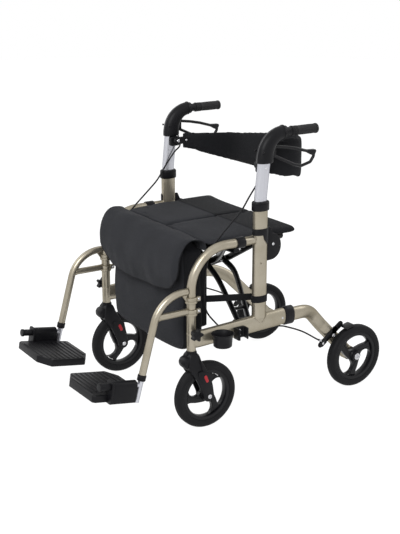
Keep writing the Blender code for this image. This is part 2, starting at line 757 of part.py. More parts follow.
def brake_arm(side):
    face = brake_face()
    y, z = BRAKE_PIVOT
    inner = WHEEL_RADIUS + SHOE_GAP
    outer, heading = inner + SHOE_THICK + 0.0066, math.radians(112.9)
    shoe_end = (REAR_AXLE_Y + outer * math.cos(heading), WHEEL_RADIUS + outer * math.sin(heading))
    bar = link((y - 0.0505, z - 0.021), shoe_end, 0.0095, 0.0105)
    arm = side.node("brake_arm", "black", "brake", plate(bar, face, face + BRAKE_THICK))
    neck = link(BRAKE_PIVOT, (y + 0.003, z + 0.020), 0.0075, 0.010)
    join(arm, plate(neck, face, face + BRAKE_THICK))
    shoe = []
    for radius, angles in ((inner, (112, 95)), (inner + SHOE_THICK, (97, 115))):
        for step in range(4):
            angle = math.radians(angles[0] + (angles[1] - angles[0]) * step / 3)
            y = REAR_AXLE_Y + radius * math.cos(angle)
            shoe.append((y, WHEEL_RADIUS + radius * math.sin(angle)))
    join(arm, plate(shoe, face, REAR_WHEEL_X + TYRE_HALF - 0.002))
    start, end = cable_end(0.0), cable_end(0.011)
    join(arm, rod(start, end, 0.0042, sides=10))
    cut(arm, rod((face - 0.01, *BRAKE_PIVOT), (face + 0.01, *BRAKE_PIVOT), bore(BRAKE_PIN)))


def cable_end(further):
    """Point on the brake cable's line, from where it meets the arm's barrel."""
    along = Vector((0, 0.88, -0.475))
    y, z = BRAKE_PIVOT
    return Vector((brake_face() + BRAKE_THICK / 2, y - 0.0575, z - 0.0035)) + along * further


def star_knob(side):
    """Lobed knob with a neck that seats on the post."""
    face = FRAME_X + TUBE_RADIUS + GAP
    outline = []
    count = KNOB_LOBES * 4
    for step in range(count):
        angle = 2 * math.pi * step / count
        radius = KNOB_RADIUS - 0.0035 + 0.0035 * math.cos(KNOB_LOBES * angle)
        outline.append((POST_Y + radius * math.cos(angle), KNOB_Z + radius * math.sin(angle)))
    lobes = soften(plate(outline, face + 0.008, face + 0.0245), 0.002)
    knob = side.node("star_knob", "black", "knob", lobes)
    join(knob, rod((face, POST_Y, KNOB_Z), (face + 0.010, POST_Y, KNOB_Z), 0.0085))


# Casters


def fork(side):
    axle_y = POST_Y + TRAIL
    outline = [
        (POST_Y - 0.022, FORK_TOP), (POST_Y + 0.022, FORK_TOP),
        (POST_Y + 0.0234, FORK_TOP - 0.0239), (POST_Y + 0.0352, FORK_TOP - 0.0485),
        (axle_y + 0.005, FORK_TOP - 0.0765), (axle_y + 0.013, WHEEL_RADIUS + 0.033),
        (axle_y + 0.0175, WHEEL_RADIUS + 0.004),
    ]
    for step in range(1, 6):
        angle = -math.pi * step / 6
        outline.append((axle_y + 0.0175 * math.cos(angle), WHEEL_RADIUS + 0.0175 * math.sin(angle)))
    outline += [
        (axle_y - 0.0176, WHEEL_RADIUS + 0.004), (axle_y - 0.024, WHEEL_RADIUS + 0.019),
        (axle_y - 0.0395, WHEEL_RADIUS + 0.0536), (POST_Y - 0.012, FORK_TOP - 0.0585),
        (POST_Y - 0.022, FORK_TOP - 0.039),
    ]
    form = soften(plate(outline, FRAME_X - FORK_HALF, FRAME_X + FORK_HALF), 0.003, over=60)
    piece = side.node("fork", "black", "caster", form)
    boss = bmesh.new()
    middle = (FRAME_X, POST_Y - 0.0165, FORK_TOP - 0.028)
    place = Matrix.Translation(middle) @ Matrix.Diagonal((1.15, 1, 1, 1))
    bmesh.ops.create_uvsphere(boss, u_segments=10, v_segments=6, radius=0.0188, matrix=place)
    join(piece, boss)
    pad_middle = Vector((axle_y - 0.0115, WHEEL_RADIUS + 0.057))
    lean = Vector((-0.38, 0.92)) * 0.0075
    pad = link(pad_middle - lean, pad_middle + lean, 0.0055, 0.0055, steps=4)
    join(piece, plate(pad, FRAME_X - FORK_HALF - 0.001, FRAME_X + FORK_HALF + 0.001))
    slot_in = (FRAME_X - FORK_SLOT_HALF, axle_y, WHEEL_RADIUS)
    slot_out = (FRAME_X + FORK_SLOT_HALF, axle_y, WHEEL_RADIUS)
    cut(piece, rod(slot_in, slot_out, WHEEL_RADIUS + FORK_WHEEL_ROOM, sides=24))
    half = FORK_HALF + 0.003
    axle = [
        (-half, 0), (-half, 0.0085), (-FORK_HALF + 0.001, 0.0095), (-FORK_HALF + 0.001, AXLE_RADIUS),
        (FORK_HALF - 0.001, AXLE_RADIUS), (FORK_HALF - 0.001, 0.0095), (half, 0.0085), (half, 0),
    ]
    join(piece, turned(axle, (FRAME_X, axle_y, WHEEL_RADIUS), steps=10))
    cup_top = POST_BOTTOM - GAP
    stem = [
        (FORK_TOP - 0.008, 0), (FORK_TOP - 0.008, 0.0145), (cup_top, 0.0145), (cup_top, STEM_RADIUS),
        (cup_top + STEM_LENGTH, STEM_RADIUS), (cup_top + STEM_LENGTH, 0),
    ]
    join(piece, turned(stem, (FRAME_X, POST_Y, 0), Z_AXIS, steps=10))


# Handle


def handle_bracket(side):
    """Moulded elbow from the post to the grip, with the bar that the grip slides over."""
    stations = []
    for behind, below, degrees, half_plane, half_x in (
        (0.012, 0.082, 90, 0.0265, 0.0185), (0.013, 0.063, 88, 0.0260, 0.0190),
        (0.018, 0.041, 70, 0.0245, 0.0185), (0.031, 0.021, 42, 0.0225, 0.0185),
        (0.050, 0.007, 15, 0.0205, 0.0180), (0.070, 0.0005, 3, 0.0195, 0.0180),
        (0.072, 0, 0, 0.0205, 0.0195), (0.084, 0, 0, 0.0205, 0.0195),
    ):
        angle = math.radians(degrees)
        along = (0, math.cos(angle), math.sin(angle))
        centre = (FRAME_X, UPRIGHT_Y + behind, BAR_Z - below)
        stations.append((centre, along, half_x, half_plane))
    bracket = side.node("handle_bracket", "black", "handle", loft(stations, sides=12))
    root = (FRAME_X, UPRIGHT_Y + 0.077, BAR_Z)
    join(bracket, rod(root, (FRAME_X, GRIP_START - GAP, BAR_Z), BAR_RADIUS + 0.0015))
    join(bracket, rod(root, (FRAME_X, BAR_END, BAR_Z), BAR_RADIUS))
    y, z = LEVER_PIVOT
    slot = plate(
        [
            (y - 0.0125, z - 0.0135), (y - 0.001, z - 0.024), (y + 0.020, z - 0.024),
            (y + 0.020, z + 0.0205), (y - 0.0125, z + 0.0205),
        ],
        FRAME_X - LEVER_SLOT_HALF, FRAME_X + LEVER_SLOT_HALF,
    )
    cut(bracket, handle_post_form(GAP))
    cut(bracket, slot)
    cut(bracket, rod((FRAME_X - 0.0125, y, z), (FRAME_X + 0.0125, y, z), bore(0.003, 10), sides=10))


def grip(side):
    profile = [(GRIP_START, BAR_RADIUS + 0.001)]
    ribs = 4
    pitch = (GRIP_END - GRIP_START - 0.012) / ribs
    for index in range(ribs):
        start = GRIP_START + 0.002 + index * pitch
        profile += [(start, GRIP_RADIUS - GRIP_RIB), (start + pitch / 2, GRIP_RADIUS)]
    profile += [
        (GRIP_END - 0.009, GRIP_RADIUS - GRIP_RIB), (GRIP_END - 0.006, GRIP_RADIUS + 0.0005),
        (GRIP_END - 0.0015, GRIP_RADIUS), (GRIP_END, GRIP_RADIUS - 0.003), (GRIP_END, 0),
    ]
    profile.insert(0, (GRIP_START, 0))
    form = turned(profile, (FRAME_X, 0, BAR_Z), Y_AXIS, steps=10)
    handle = side.node("grip", "rubber", "handle", form)
    mouth, floor = (FRAME_X, GRIP_START - 0.01, BAR_Z), (FRAME_X, BAR_END + GAP, BAR_Z)
    cut(handle, rod(mouth, floor, BAR_RADIUS + GAP))


def brake_lever(side):
    """Loop of rod that is squeezed up towards the grip."""
    y, z = LEVER_PIVOT
    corners = [
        (y + 0.004, z + 0.010), (y + 0.086, z - 0.004), (y + 0.127, z - 0.016), (y + 0.152, z - 0.020),
        (y + 0.139, z - 0.049), (y + 0.107, z - 0.057), (y + 0.080, z - 0.050), (y + 0.004, z - 0.015),
    ]
    corners = [(FRAME_X, *corner) for corner in corners]
    loop = tube(corners, LEVER_ROD, LEVER_ROD, bend=0.009, steps=1, sides=6)
    lever = side.node("brake_lever", "black", "lever", loop)
    root = rounded([
        (y + 0.001, z - 0.020), (y + 0.013, z - 0.020), (y + 0.013, z + 0.0145),
        (y - 0.006, z + 0.0145), (y - 0.006, z - 0.010),
    ], 0.003, steps=1)
    join(lever, plate(root, FRAME_X - LEVER_ROOT_HALF, FRAME_X + LEVER_ROOT_HALF))
    tip = link((y + 0.128, z - 0.0165), (y + 0.151, z - 0.0195), 0.0055, 0.0065, steps=3)
    join(lever, soften(plate(tip, FRAME_X - 0.0065, FRAME_X + 0.0065), 0.0015))
    join(lever, rod((FRAME_X - 0.0115, y, z), (FRAME_X + 0.0115, y, z), 0.003, sides=10))


def backrest_bracket(side):
    """Block on the post's inner face with the pin that the backrest turns on."""
    y, z = BACKREST_PIVOT
    outer = FRAME_X - (UPRIGHT_HALF_X - UPRIGHT_WALL - PLAY) - GAP
    low, high = z - 0.018, z + 0.0112
    outline = rounded([
        (y - 0.017, low), (y + 0.015, low), (y + 0.015, high), (y - 0.017, high),
    ], 0.005, steps=2)
    form = soften(plate(outline, BACKREST_BRACKET_INNER, outer), 0.0015)
    block = side.node("backrest_bracket", "black", "handle", form)
    pin_end = BACKREST_BRACKET_INNER - 0.0065
    join(block, rod((pin_end, y, z), (outer - 0.005, y, z), BACKREST_PIN))


# Legrest


def hanger(side):
    """Bent tube with two rings that turn on the post."""
    start_y = POST_Y - TUBE_RADIUS - 0.0015
    knee = leg_line(HANGER_TOP_Z)
    corners = [(FRAME_X, start_y, HANGER_TOP_Z), knee, leg_line(HANGER_END_Z)]
    form = tube(corners, HANGER_RADIUS, HANGER_RADIUS, bend=HANGER_BEND, steps=5)
    piece = side.node("hanger", "champagne", "hanger", form)
    bar_end = leg_line(HANGER_BAR_Z)
    join(piece, rod((FRAME_X, start_y, HANGER_BAR_Z), bar_end, HANGER_BAR_RADIUS))
    inner = bore(TUBE_RADIUS, 14)
    outer = inner + RING_WALL
    for z in RING_ZS:
        low, high = z - RING_HEIGHT / 2, z + RING_HEIGHT / 2
        join(piece, rod((FRAME_X, POST_Y, low), (FRAME_X, POST_Y, high), outer, sides=14))
        ear = [
            (POST_Y + inner, z - 0.007), (POST_Y + 0.027, z - 0.007), (POST_Y + 0.029, z - 0.005),
            (POST_Y + 0.029, z + 0.005), (POST_Y + 0.027, z + 0.007), (POST_Y + inner, z + 0.007),
        ]
        join(piece, plate(ear, FRAME_X - 0.0045, FRAME_X + 0.0045))
    gusset = [
        (start_y, HANGER_TOP_Z), (start_y - 0.022, HANGER_TOP_Z), (start_y, RING_ZS[0] - 0.006),
    ]
    join(piece, plate(gusset, FRAME_X - 0.004, FRAME_X + 0.004))
    below, above = HANGER_BAR_Z - 0.05, HANGER_TOP_Z + 0.05
    cut(piece, rod((FRAME_X, POST_Y, below), (FRAME_X, POST_Y, above), inner, sides=14))
    mouth, floor = leg_line(HANGER_END_Z - 0.01), leg_line(LEGREST_TOP_Z + 0.004)
    cut(piece, rod(mouth, floor, LEGREST_RADIUS + PLAY))


def hanger_collar(side):
    along = (leg_line(0) - leg_line(1)).normalized()
    start, end = leg_line(HANGER_END_Z) + along * GAP, leg_line(HANGER_END_Z - 0.026)
    outer = HANGER_RADIUS + 0.002
    stations = [
        (start, along, outer, outer), (end - along * 0.003, along, outer, outer),
        (end, along, outer - 0.0015, outer - 0.0015),
    ]
    collar = side.node("hanger_collar", "black", "hanger", loft(stations))
    cut(collar, rod(start - along * 0.01, end + along * 0.01, LEGREST_RADIUS + PLAY))


def stub_root():
    """Where the hinge axis of the footplate meets the legrest tube."""
    c, s = math.cos(FOOT_PITCH), math.sin(FOOT_PITCH)
    lean = math.tan(HANGER_LEAN)
    forward = (leg_line(FOOT_AXIS_Z).y - FOOT_AXIS_Y) / (-c + lean * s)
    return foot_point(FRAME_X, forward)


def legrest_tube(side):
    form = rod(leg_line(LEGREST_TOP_Z), leg_line(LEGREST_FOOT_Z), LEGREST_RADIUS)
    piece = side.node("legrest_tube", "silver", "legrest", form)
    join(piece, rod(stub_root(), foot_point(FRAME_X, 0.0585), STUB_RADIUS))


def legrest_plug(side):
    start, end = foot_point(FRAME_X, 0.0445), foot_point(FRAME_X, 0.078)
    along = end - start
    stations = [(start, along, 0.010, 0.010), (start + along * 0.72, along, 0.010, 0.010),
                (start + along * 0.8, along, 0.0115, 0.0115), (end, along, 0.0115, 0.0115)]
    plug = side.node("legrest_plug", "black", "legrest", loft(stations))
    cut(plug, rod(start - along * 0.2, foot_point(FRAME_X, 0.0585 + GAP), STUB_RADIUS + GAP))


def footplate(side):
    """Ribbed tray, hollow underneath, with the box that turns on the stub."""
    space = foot_space()
    low, high = -FOOT_DROP - FOOT_THICK, -FOOT_DROP
    inner = FOOT_INNER_X
    outer = FRAME_X - 0.004
    outline = [
        (inner, -0.047), (inner + 0.044, -0.071), (outer - 0.024, -0.071), (outer - 0.018, -0.064),
        (outer - 0.014, -0.034), (outer, -0.034), (outer, 0.080), (outer - 0.007, 0.088),
        (inner + 0.050, 0.090), (inner, 0.063),
    ]
    tray = side.node("footplate", "black", "footplate", soften(plate(outline, low, high, space), 0.0025))
    rib_end = outer - 0.028
    ribs = []
    for index in range(8):
        u, x_low = -0.055 + 0.017 * index, inner + (0.028 if index == 0 else 0.012)
        rib = [(x_low, u), (rib_end, u), (rib_end, u + 0.006), (x_low, u + 0.006)]
        ribs.append(plate(rib, high - 0.001, high + 0.0016, space))
    join(tray, together(*ribs))
    hollow = [
        (inner + FOOT_WALL, -0.044), (inner + 0.046, -0.071 + FOOT_WALL),
        (rib_end, -0.071 + FOOT_WALL), (rib_end, 0.090 - FOOT_WALL),
        (inner + 0.051, 0.090 - FOOT_WALL), (inner + FOOT_WALL, 0.061),
    ]
    cut(tray, plate(hollow, low - 0.01, high - FOOT_WALL - 0.001, space))
    arch = [(FRAME_X - FOOT_BOX_HALF, low), (FRAME_X + FOOT_BOX_HALF, low)]
    for step in range(7):
        angle = math.pi * step / 6
        arch.append((FRAME_X + FOOT_BOX_HALF * math.cos(angle), FOOT_BOX_HALF * math.sin(angle)))
    turn = space @ END_ON
    join(tray, plate(arch, -0.0365, 0.0415, turn))
    lip = rounded([
        (FRAME_X - 0.0178, low - 0.0015), (FRAME_X + 0.0178, low - 0.0015),
        (FRAME_X + 0.0178, 0.0172), (FRAME_X - 0.0178, 0.0172),
    ], 0.008)
    join(tray, plate(lip, 0.0385, 0.0440, turn))
    cut(tray, rod(foot_point(FRAME_X, -0.05), foot_point(FRAME_X, 0.06), bore(STUB_RADIUS)))


# Cross braces and seat


def brace_route(front_y, lower_y, upper_y, bulge):
    """Bar from the left hub to the right seat rail; it runs level where it crosses its twin."""
    lower_x = PIVOT_X
    slope = (CROSS_Z - PIVOT_Z) / PIVOT_X
    rise = (SEAT_RAIL_Z - CROSS_Z) / SEAT_RAIL_X
    level = 0.052
    return [
        (lower_x, lower_y, PIVOT_Z),
        (0.150, lower_y + (front_y - lower_y) * 0.5, PIVOT_Z + (lower_x - 0.150) * slope + bulge * 0.3),
        (level + 0.012, front_y, CROSS_Z - (level + 0.012) * slope + bulge),
        (0, front_y, CROSS_Z + bulge * 0.2),
        (-level, front_y, CROSS_Z + level * rise),
        (-SEAT_RAIL_X, upper_y, SEAT_RAIL_Z),
    ]


def bar_form(points):
    """Flat bar through points joined by a smooth curve, its width kept in the plane of folding."""
    dense = smooth_points([Vector(point) for point in points], 2)
    stations = []
    for index, point in enumerate(dense):
        before, after = dense[max(index - 1, 0)], dense[min(index + 1, len(dense) - 1)]
        stations.append((point, after - before, BAR_HALF_THICK, BAR_HALF_HIGH))
    return loft(stations, sides=8, power=0.7, across=Y_AXIS)


def smooth_points(points, steps):
    """Points along a smooth curve through the given ones."""
    ends = [points[0] * 2 - points[1]] + points + [points[-1] * 2 - points[-2]]
    found = []
    for a, b, c, d in zip(ends, ends[1:], ends[2:], ends[3:]):
        for step in range(steps):
            t = step / steps
            found.append(
                0.5 * (2 * b + (c - a) * t + (2 * a - 5 * b + 4 * c - d) * t ** 2
                       + (3 * b - a - 3 * c + d) * t ** 3)
            )
    return found + [points[-1]]


def brace(name, carrier, sign):
    """Scissor brace: hub tube, two bars, rungs and the seat rail. Drawn from the left hub."""
    outward = BAR_HALF_THICK + BAR_SIDE_GAP
    shift = -outward * sign
    front, back = CROSS_FRONT_Y + shift, CROSS_BACK_Y + shift
    hub = rod((PIVOT_X, HUB_FRONT, PIVOT_Z), (PIVOT_X, HUB_BACK, PIVOT_Z), HUB_TUBE)
    piece = make_node(name, "black", carrier, hub, sign)
    join(piece, bar_form(brace_route(front, -0.019, -0.044, 0.0)))
    join(piece, bar_form(brace_route(back, 0.017, 0.095, 0.010)))
    rail_start = (-SEAT_RAIL_X, SEAT_RAIL_FRONT, SEAT_RAIL_Z)
    rail_end = (-SEAT_RAIL_X, SEAT_RAIL_BACK, SEAT_RAIL_Z)
    join(piece, rod(rail_start, rail_end, SEAT_RAIL_RADIUS))
    rung_x = 0.180
    rung_z = PIVOT_Z + (PIVOT_X - rung_x) * (CROSS_Z - PIVOT_Z) / PIVOT_X
    join(piece, rod((rung_x, -0.012, rung_z), (rung_x, 0.029, rung_z), 0.005, sides=8))
    if sign > 0:
        reach = 3 * BAR_HALF_THICK + 2 * BAR_SIDE_GAP + 0.001
        for y in (front, back):
            pin_start = (0, y - BAR_HALF_THICK + 0.002, CROSS_Z)
            pin_end = (0, y + reach, CROSS_Z)
            join(piece, rod(pin_start, pin_end, CROSS_PIN, across=Z_AXIS))
    else:
        for y in (front, back):
            hole_start, hole_end = (0, y - 0.009, CROSS_Z), (0, y + 0.009, CROSS_Z)
            cut(piece, rod(hole_start, hole_end, bore(CROSS_PIN), across=Z_AXIS))
    hub_start = (PIVOT_X, HUB_FRONT - 0.01, PIVOT_Z)
    hub_end = (PIVOT_X, HUB_BACK + 0.01, PIVOT_Z)
    cut(piece, rod(hub_start, hub_end, bore(HUB_PIN)))


def seat_half_width(y):
    """Half width of the seat, drawn in at its front and rear corners."""
    for corner, edge, sign in ((SEAT_CORNER, SEAT_FRONT, 1), (SEAT_CORNER * 0.75, SEAT_BACK, -1)):
        inside = (y - edge) * sign
        if inside < corner:
            short = min(corner - inside, corner)
            return SEAT_HALF - corner + math.sqrt(corner ** 2 - short ** 2)
    return SEAT_HALF


def seat_half(name, carrier, sign):
    """Half of the padded seat: crowned, thinner at its front hem, with a sewn channel."""
    shape = bmesh.new()
    bmesh.ops.create_grid(shape, x_segments=6, y_segments=12, size=1.0)
    bottom = SEAT_RAIL_Z + SEAT_RAIL_RADIUS + PLAY
    top = bottom + SEAT_THICK
    channel_y = SEAT_FRONT + 0.045
    for point in shape.verts:
        u, v = (point.co.x + 1) / 2, (1 - math.cos(math.pi * (point.co.y + 1) / 2)) / 2
        y = SEAT_FRONT + v * (SEAT_BACK - SEAT_FRONT)
        if abs(y - channel_y) < 0.012:
            y = channel_y
        x = PLAY + u * (seat_half_width(y) - PLAY)
        crown = SEAT_CROWN * (1 - u ** 4) * (1 - abs(2 * v - 1) ** 4)
        sewn = 0.0012 if y == channel_y else 0.0
        point.co = (x, y, top - SEAT_CROWN + crown - sewn - (0.003 if u > 0.99 else 0.0))
    moved = bmesh.ops.extrude_face_region(shape, geom=shape.faces[:])["geom"]
    for point in moved:
        if isinstance(point, bmesh.types.BMVert):
            hem = max(0.0, 1 - (point.co.y - SEAT_FRONT) / 0.02)
            point.co.z = bottom + 0.009 * hem
    bmesh.ops.recalc_face_normals(shape, faces=shape.faces)
    make_node(name, "nylon", carrier, shape, sign)


def backrest_band(carrier):
    """Padded strap that bows back between the two handle posts."""
    half = BACKREST_BRACKET_INNER - BAND_INSET
    start_y, middle_z = BACKREST_PIVOT
    top, bottom = middle_z + BAND_HEIGHT / 2 + 0.0005, middle_z - BAND_HEIGHT / 2 + 0.0005
    stations = []
    count = 12
    for step in range(count + 1):
        angle = math.pi * step / count
        across, back = -math.cos(angle), math.sin(angle)
        x = half * math.copysign(abs(across) ** 0.3, across)
        y = start_y + BAND_ARM + BAND_DEPTH * back ** 0.45
        swell = back ** 0.35
        high = top + (BAND_RISE + BAND_TILT * across) * swell
        low = bottom - BAND_DROP * swell
        stations.append([Vector((x, y, (high + low) / 2)), (high - low) / 2, 0.0065 + 0.002 * swell])
    for index, place in ((0, 0), (-1, len(stations) + 2)):
        x = stations[index][0].x
        arm = [[Vector((x, y, middle_z)), 0.009, 0.0065] for y in (start_y - 0.013, start_y + BAND_ARM - 0.006)]
        stations[place:place] = arm if index == 0 else arm[::-1]
    points = [station[0] for station in stations]
    sections = []
    for index, (point, half_high, half_thick) in enumerate(stations):
        before, after = points[max(index - 1, 0)], points[min(index + 1, len(points) - 1)]
        heading = after - before
        heading.z = 0
        sections.append((point, heading, half_high, half_thick))
    form = loft(sections, sides=10, power=0.6, across=Z_AXIS)
    band = make_node("backrest_band", "nylon", carrier, form)
    hole_in, hole_out = half - 0.0145, half + 0.0205
    for sign in (1, -1):
        start, end = (hole_in * sign, start_y, middle_z), (hole_out * sign, start_y, middle_z)
        cut(band, rod(start, end, bore(BACKREST_PIN)))


def bag(carrier):
    """Closed bag between the posts: tapered body, bulging flap and a strap to each upright."""
    middle = (BAG_BACK + BAG_FRONT) / 2
    half_y = (BAG_BACK - BAG_FRONT) / 2
    body = [
        ((0, middle, BAG_BOTTOM), Z_AXIS, BAG_HALF - 0.014, half_y - 0.006),
        ((0, middle, BAG_BOTTOM + 0.014), Z_AXIS, BAG_HALF - 0.006, half_y - 0.001),
        ((0, middle, BAG_BOTTOM + 0.088), Z_AXIS, BAG_HALF, half_y),
        ((0, middle, BAG_TOP - 0.01), Z_AXIS, BAG_HALF, half_y),
        ((0, middle, BAG_TOP), Z_AXIS, BAG_HALF - 0.008, half_y - 0.008),
    ]
    piece = make_node("bag", "nylon", carrier, loft(body, sides=16, power=0.35))
    flap_back = BAG_FRONT + 0.022
    flap_middle, flap_half = (FLAP_FRONT + flap_back) / 2, (flap_back - FLAP_FRONT) / 2
    flap = [
        ((0, flap_middle + 0.012, FLAP_BOTTOM), Z_AXIS, FLAP_HALF - 0.024, flap_half - 0.012),
        ((0, flap_middle + 0.004, FLAP_BOTTOM + 0.02), Z_AXIS, FLAP_HALF - 0.012, flap_half - 0.004),
        ((0, flap_middle, FLAP_BOTTOM + 0.072), Z_AXIS, FLAP_HALF, flap_half),
        ((0, flap_middle + 0.006, BAG_TOP - 0.007), Z_AXIS, FLAP_HALF, flap_half - 0.006),
        ((0, flap_middle + 0.014, BAG_TOP + 0.013), Z_AXIS, FLAP_HALF - 0.006, flap_half - 0.012),
    ]
    join(piece, loft(flap, sides=16, power=0.45))
    low, high = STRAP_Z - STRAP_HALF, STRAP_Z + STRAP_HALF
    for sign in (1, -1):
        inner_x = FRAME_X - UPRIGHT_HALF_X - STRAP_THICK
        outline = [
            (sign * (BAG_HALF - 0.017), BAG_BACK - 0.016), (sign * inner_x, UPRIGHT_Y + 0.003),
            (sign * (inner_x + 0.003), UPRIGHT_Y + 0.003), (sign * (BAG_HALF - 0.009), BAG_BACK - 0.016),
        ]
        join(piece, plate(outline, low, high, PLAN))
        centre = (sign * FRAME_X, UPRIGHT_Y, 0)
        grow = STRAP_THICK + GAP
        ring = [
            ((centre[0], UPRIGHT_Y, z), Z_AXIS, UPRIGHT_HALF_X + grow, UPRIGHT_HALF_Y + grow)
            for z in (low, high)
        ]
        join(piece, loft(ring, sides=12, power=OVAL))
        hole = [
            ((centre[0], UPRIGHT_Y, z), Z_AXIS, UPRIGHT_HALF_X + GAP, UPRIGHT_HALF_Y + GAP)
            for z in (low - 0.01, high + 0.01)
        ]
        cut(piece, loft(hole, sides=12, power=OVAL))


# Accessories and cables


def cane_cup(side):
    """Cup on the lower rail that holds a walking stick's foot."""
    height = CUP_TOP - CUP_BOTTOM
    inner = CUP_RADIUS - CUP_WALL
    profile = [
        (0, 0), (0, CUP_RADIUS - 0.004), (0.004, CUP_RADIUS - 0.001), (height - 0.012, CUP_RADIUS),
        (height - 0.002, CUP_RIM), (height, CUP_RIM - 0.001), (height, CUP_RIM - 0.0035),
        (height - 0.012, inner), (0.005, inner - 0.001), (0.005, 0),
    ]
    form = turned(profile, (CUP_X, CUP_Y, CUP_BOTTOM), Z_AXIS, steps=14)
    cup = make_node("cane_cup", "black", side.carriers["frame"], form)
    face = FRAME_X + RAIL_HALF_X + GAP
    low, high = CUP_BOTTOM + 0.012, CUP_TOP - 0.007
    arm = rounded([
        (CUP_Y - 0.014, low), (CUP_Y + 0.014, low), (CUP_Y + 0.014, high), (CUP_Y - 0.014, high),
    ], 0.004)
    join(cup, plate(arm, face, CUP_X - CUP_RADIUS + CUP_WALL / 2))


def cane_clip(side):
    """Open clip on the rail for the stick's shaft."""
    face = FRAME_X + RAIL_HALF_X + GAP
    back, tip = face + 0.006, face + 0.006 + CLIP_REACH
    outer, inner = CLIP_HALF_Y, CLIP_HALF_Y - 0.005
    outline = [
        (face, CLIP_Y - outer), (tip - 0.004, CLIP_Y - outer), (tip, CLIP_Y - outer + 0.003),
        (tip - 0.001, CLIP_Y - outer + 0.0075), (tip - 0.006, CLIP_Y - inner), (back, CLIP_Y - inner),
        (back, CLIP_Y + inner), (tip - 0.006, CLIP_Y + inner), (tip - 0.001, CLIP_Y + outer - 0.0075),
        (tip, CLIP_Y + outer - 0.003), (tip - 0.004, CLIP_Y + outer), (face, CLIP_Y + outer),
    ]
    form = plate(outline, CLIP_BOTTOM, CLIP_BOTTOM + CLIP_HEIGHT, PLAN)
    make_node("cane_clip", "black", side.carriers["frame"], form)


def cable_route():
    """Points chosen by hand along the left brake cable, from the bracket to the brake arm."""
    end = cable_end(-GAP)
    before = cable_end(-0.010)
    return [
        Vector(point) for point in (
            (0.2465, 0.0670, 0.7550), (0.2465, 0.0671, 0.750), (0.2420, 0.0705, 0.738),
            (0.2370, 0.0660, 0.7215), (0.2352, 0.0480, 0.7080), (0.2350, 0.0300, 0.6880),
            (0.2350, 0.0065, 0.6580), (0.2350, -0.0197, 0.6220), (0.2355, -0.0605, 0.5850),
            (0.2368, -0.0973, 0.5525), (0.2370, -0.1120, 0.5370), (0.2362, -0.1250, 0.5150),
            (0.2335, -0.1350, 0.4800), (0.2290, -0.1390, 0.4300), (0.2265, -0.1390, 0.3800),
            (0.2255, -0.1305, 0.3394), (0.2260, -0.1060, 0.3050), (0.2285, -0.0750, 0.2750),
            (0.2300, -0.0350, 0.2620), (0.2300, 0.0200, 0.2570), (0.2285, 0.0900, 0.2500),
            (0.2260, 0.1330, 0.2430), (0.2250, 0.1630, 0.2330), (0.2255, 0.2185, 0.2080),
        )
    ] + [before, end]


def brake_cable(side):
    """Outer cable as one smooth tube with even steps along its length."""
    dense = smooth_points(cable_route(), 12)
    lengths = [0.0]
    for first, second in zip(dense, dense[1:]):
        lengths.append(lengths[-1] + (second - first).length)
    count = round(lengths[-1] / CABLE_STEP)
    points = []
    index = 0
    for step in range(count + 1):
        wanted = lengths[-1] * step / count
        while index < len(dense) - 2 and lengths[index + 1] < wanted:
            index += 1
        share = (wanted - lengths[index]) / (lengths[index + 1] - lengths[index])
        points.append(dense[index].lerp(dense[index + 1], share))
    name = f"{side.name}_brake_cable"
    curve = bpy.data.curves.new(name, "CURVE")
    curve.dimensions = "3D"
    curve.bevel_depth = CABLE_RADIUS
    curve.bevel_resolution = 2
    curve.use_fill_caps = True
    spline = curve.splines.new("POLY")
    spline.points.add(len(points) - 1)
    carrier = side.carriers["frame"]
    for slot, point in zip(spline.points, points):
        placed = side.at(*point) - carrier.at
        slot.co = (*placed, 1.0)
    curve.materials.append(material_for(name, "black"))
    thing = bpy.data.objects.new(name, curve)
    thing.parent = carrier.empty
    bpy.context.scene.collection.objects.link(thing)
    print(f"{name}: {len(points)} points, {lengths[-1]:.3f} m")


def centre_on_floor(root):
    """Moves everything so that the origin is under the middle of the bounding box."""
    bpy.context.view_layer.update()
    corners = []
    for thing in bpy.data.objects:
        if thing.type == "MESH" and not thing.hide_render:
            corners += [thing.matrix_world @ point.co for point in thing.data.vertices]
    low = [min(corner[axis] for corner in corners) for axis in range(3)]
    high = [max(corner[axis] for corner in corners) for axis in range(3)]
    shift = Vector((-(low[0] + high[0]) / 2, -(low[1] + high[1]) / 2, -low[2]))
    root.empty.location += shift
    bpy.context.view_layer.update()
    return shift


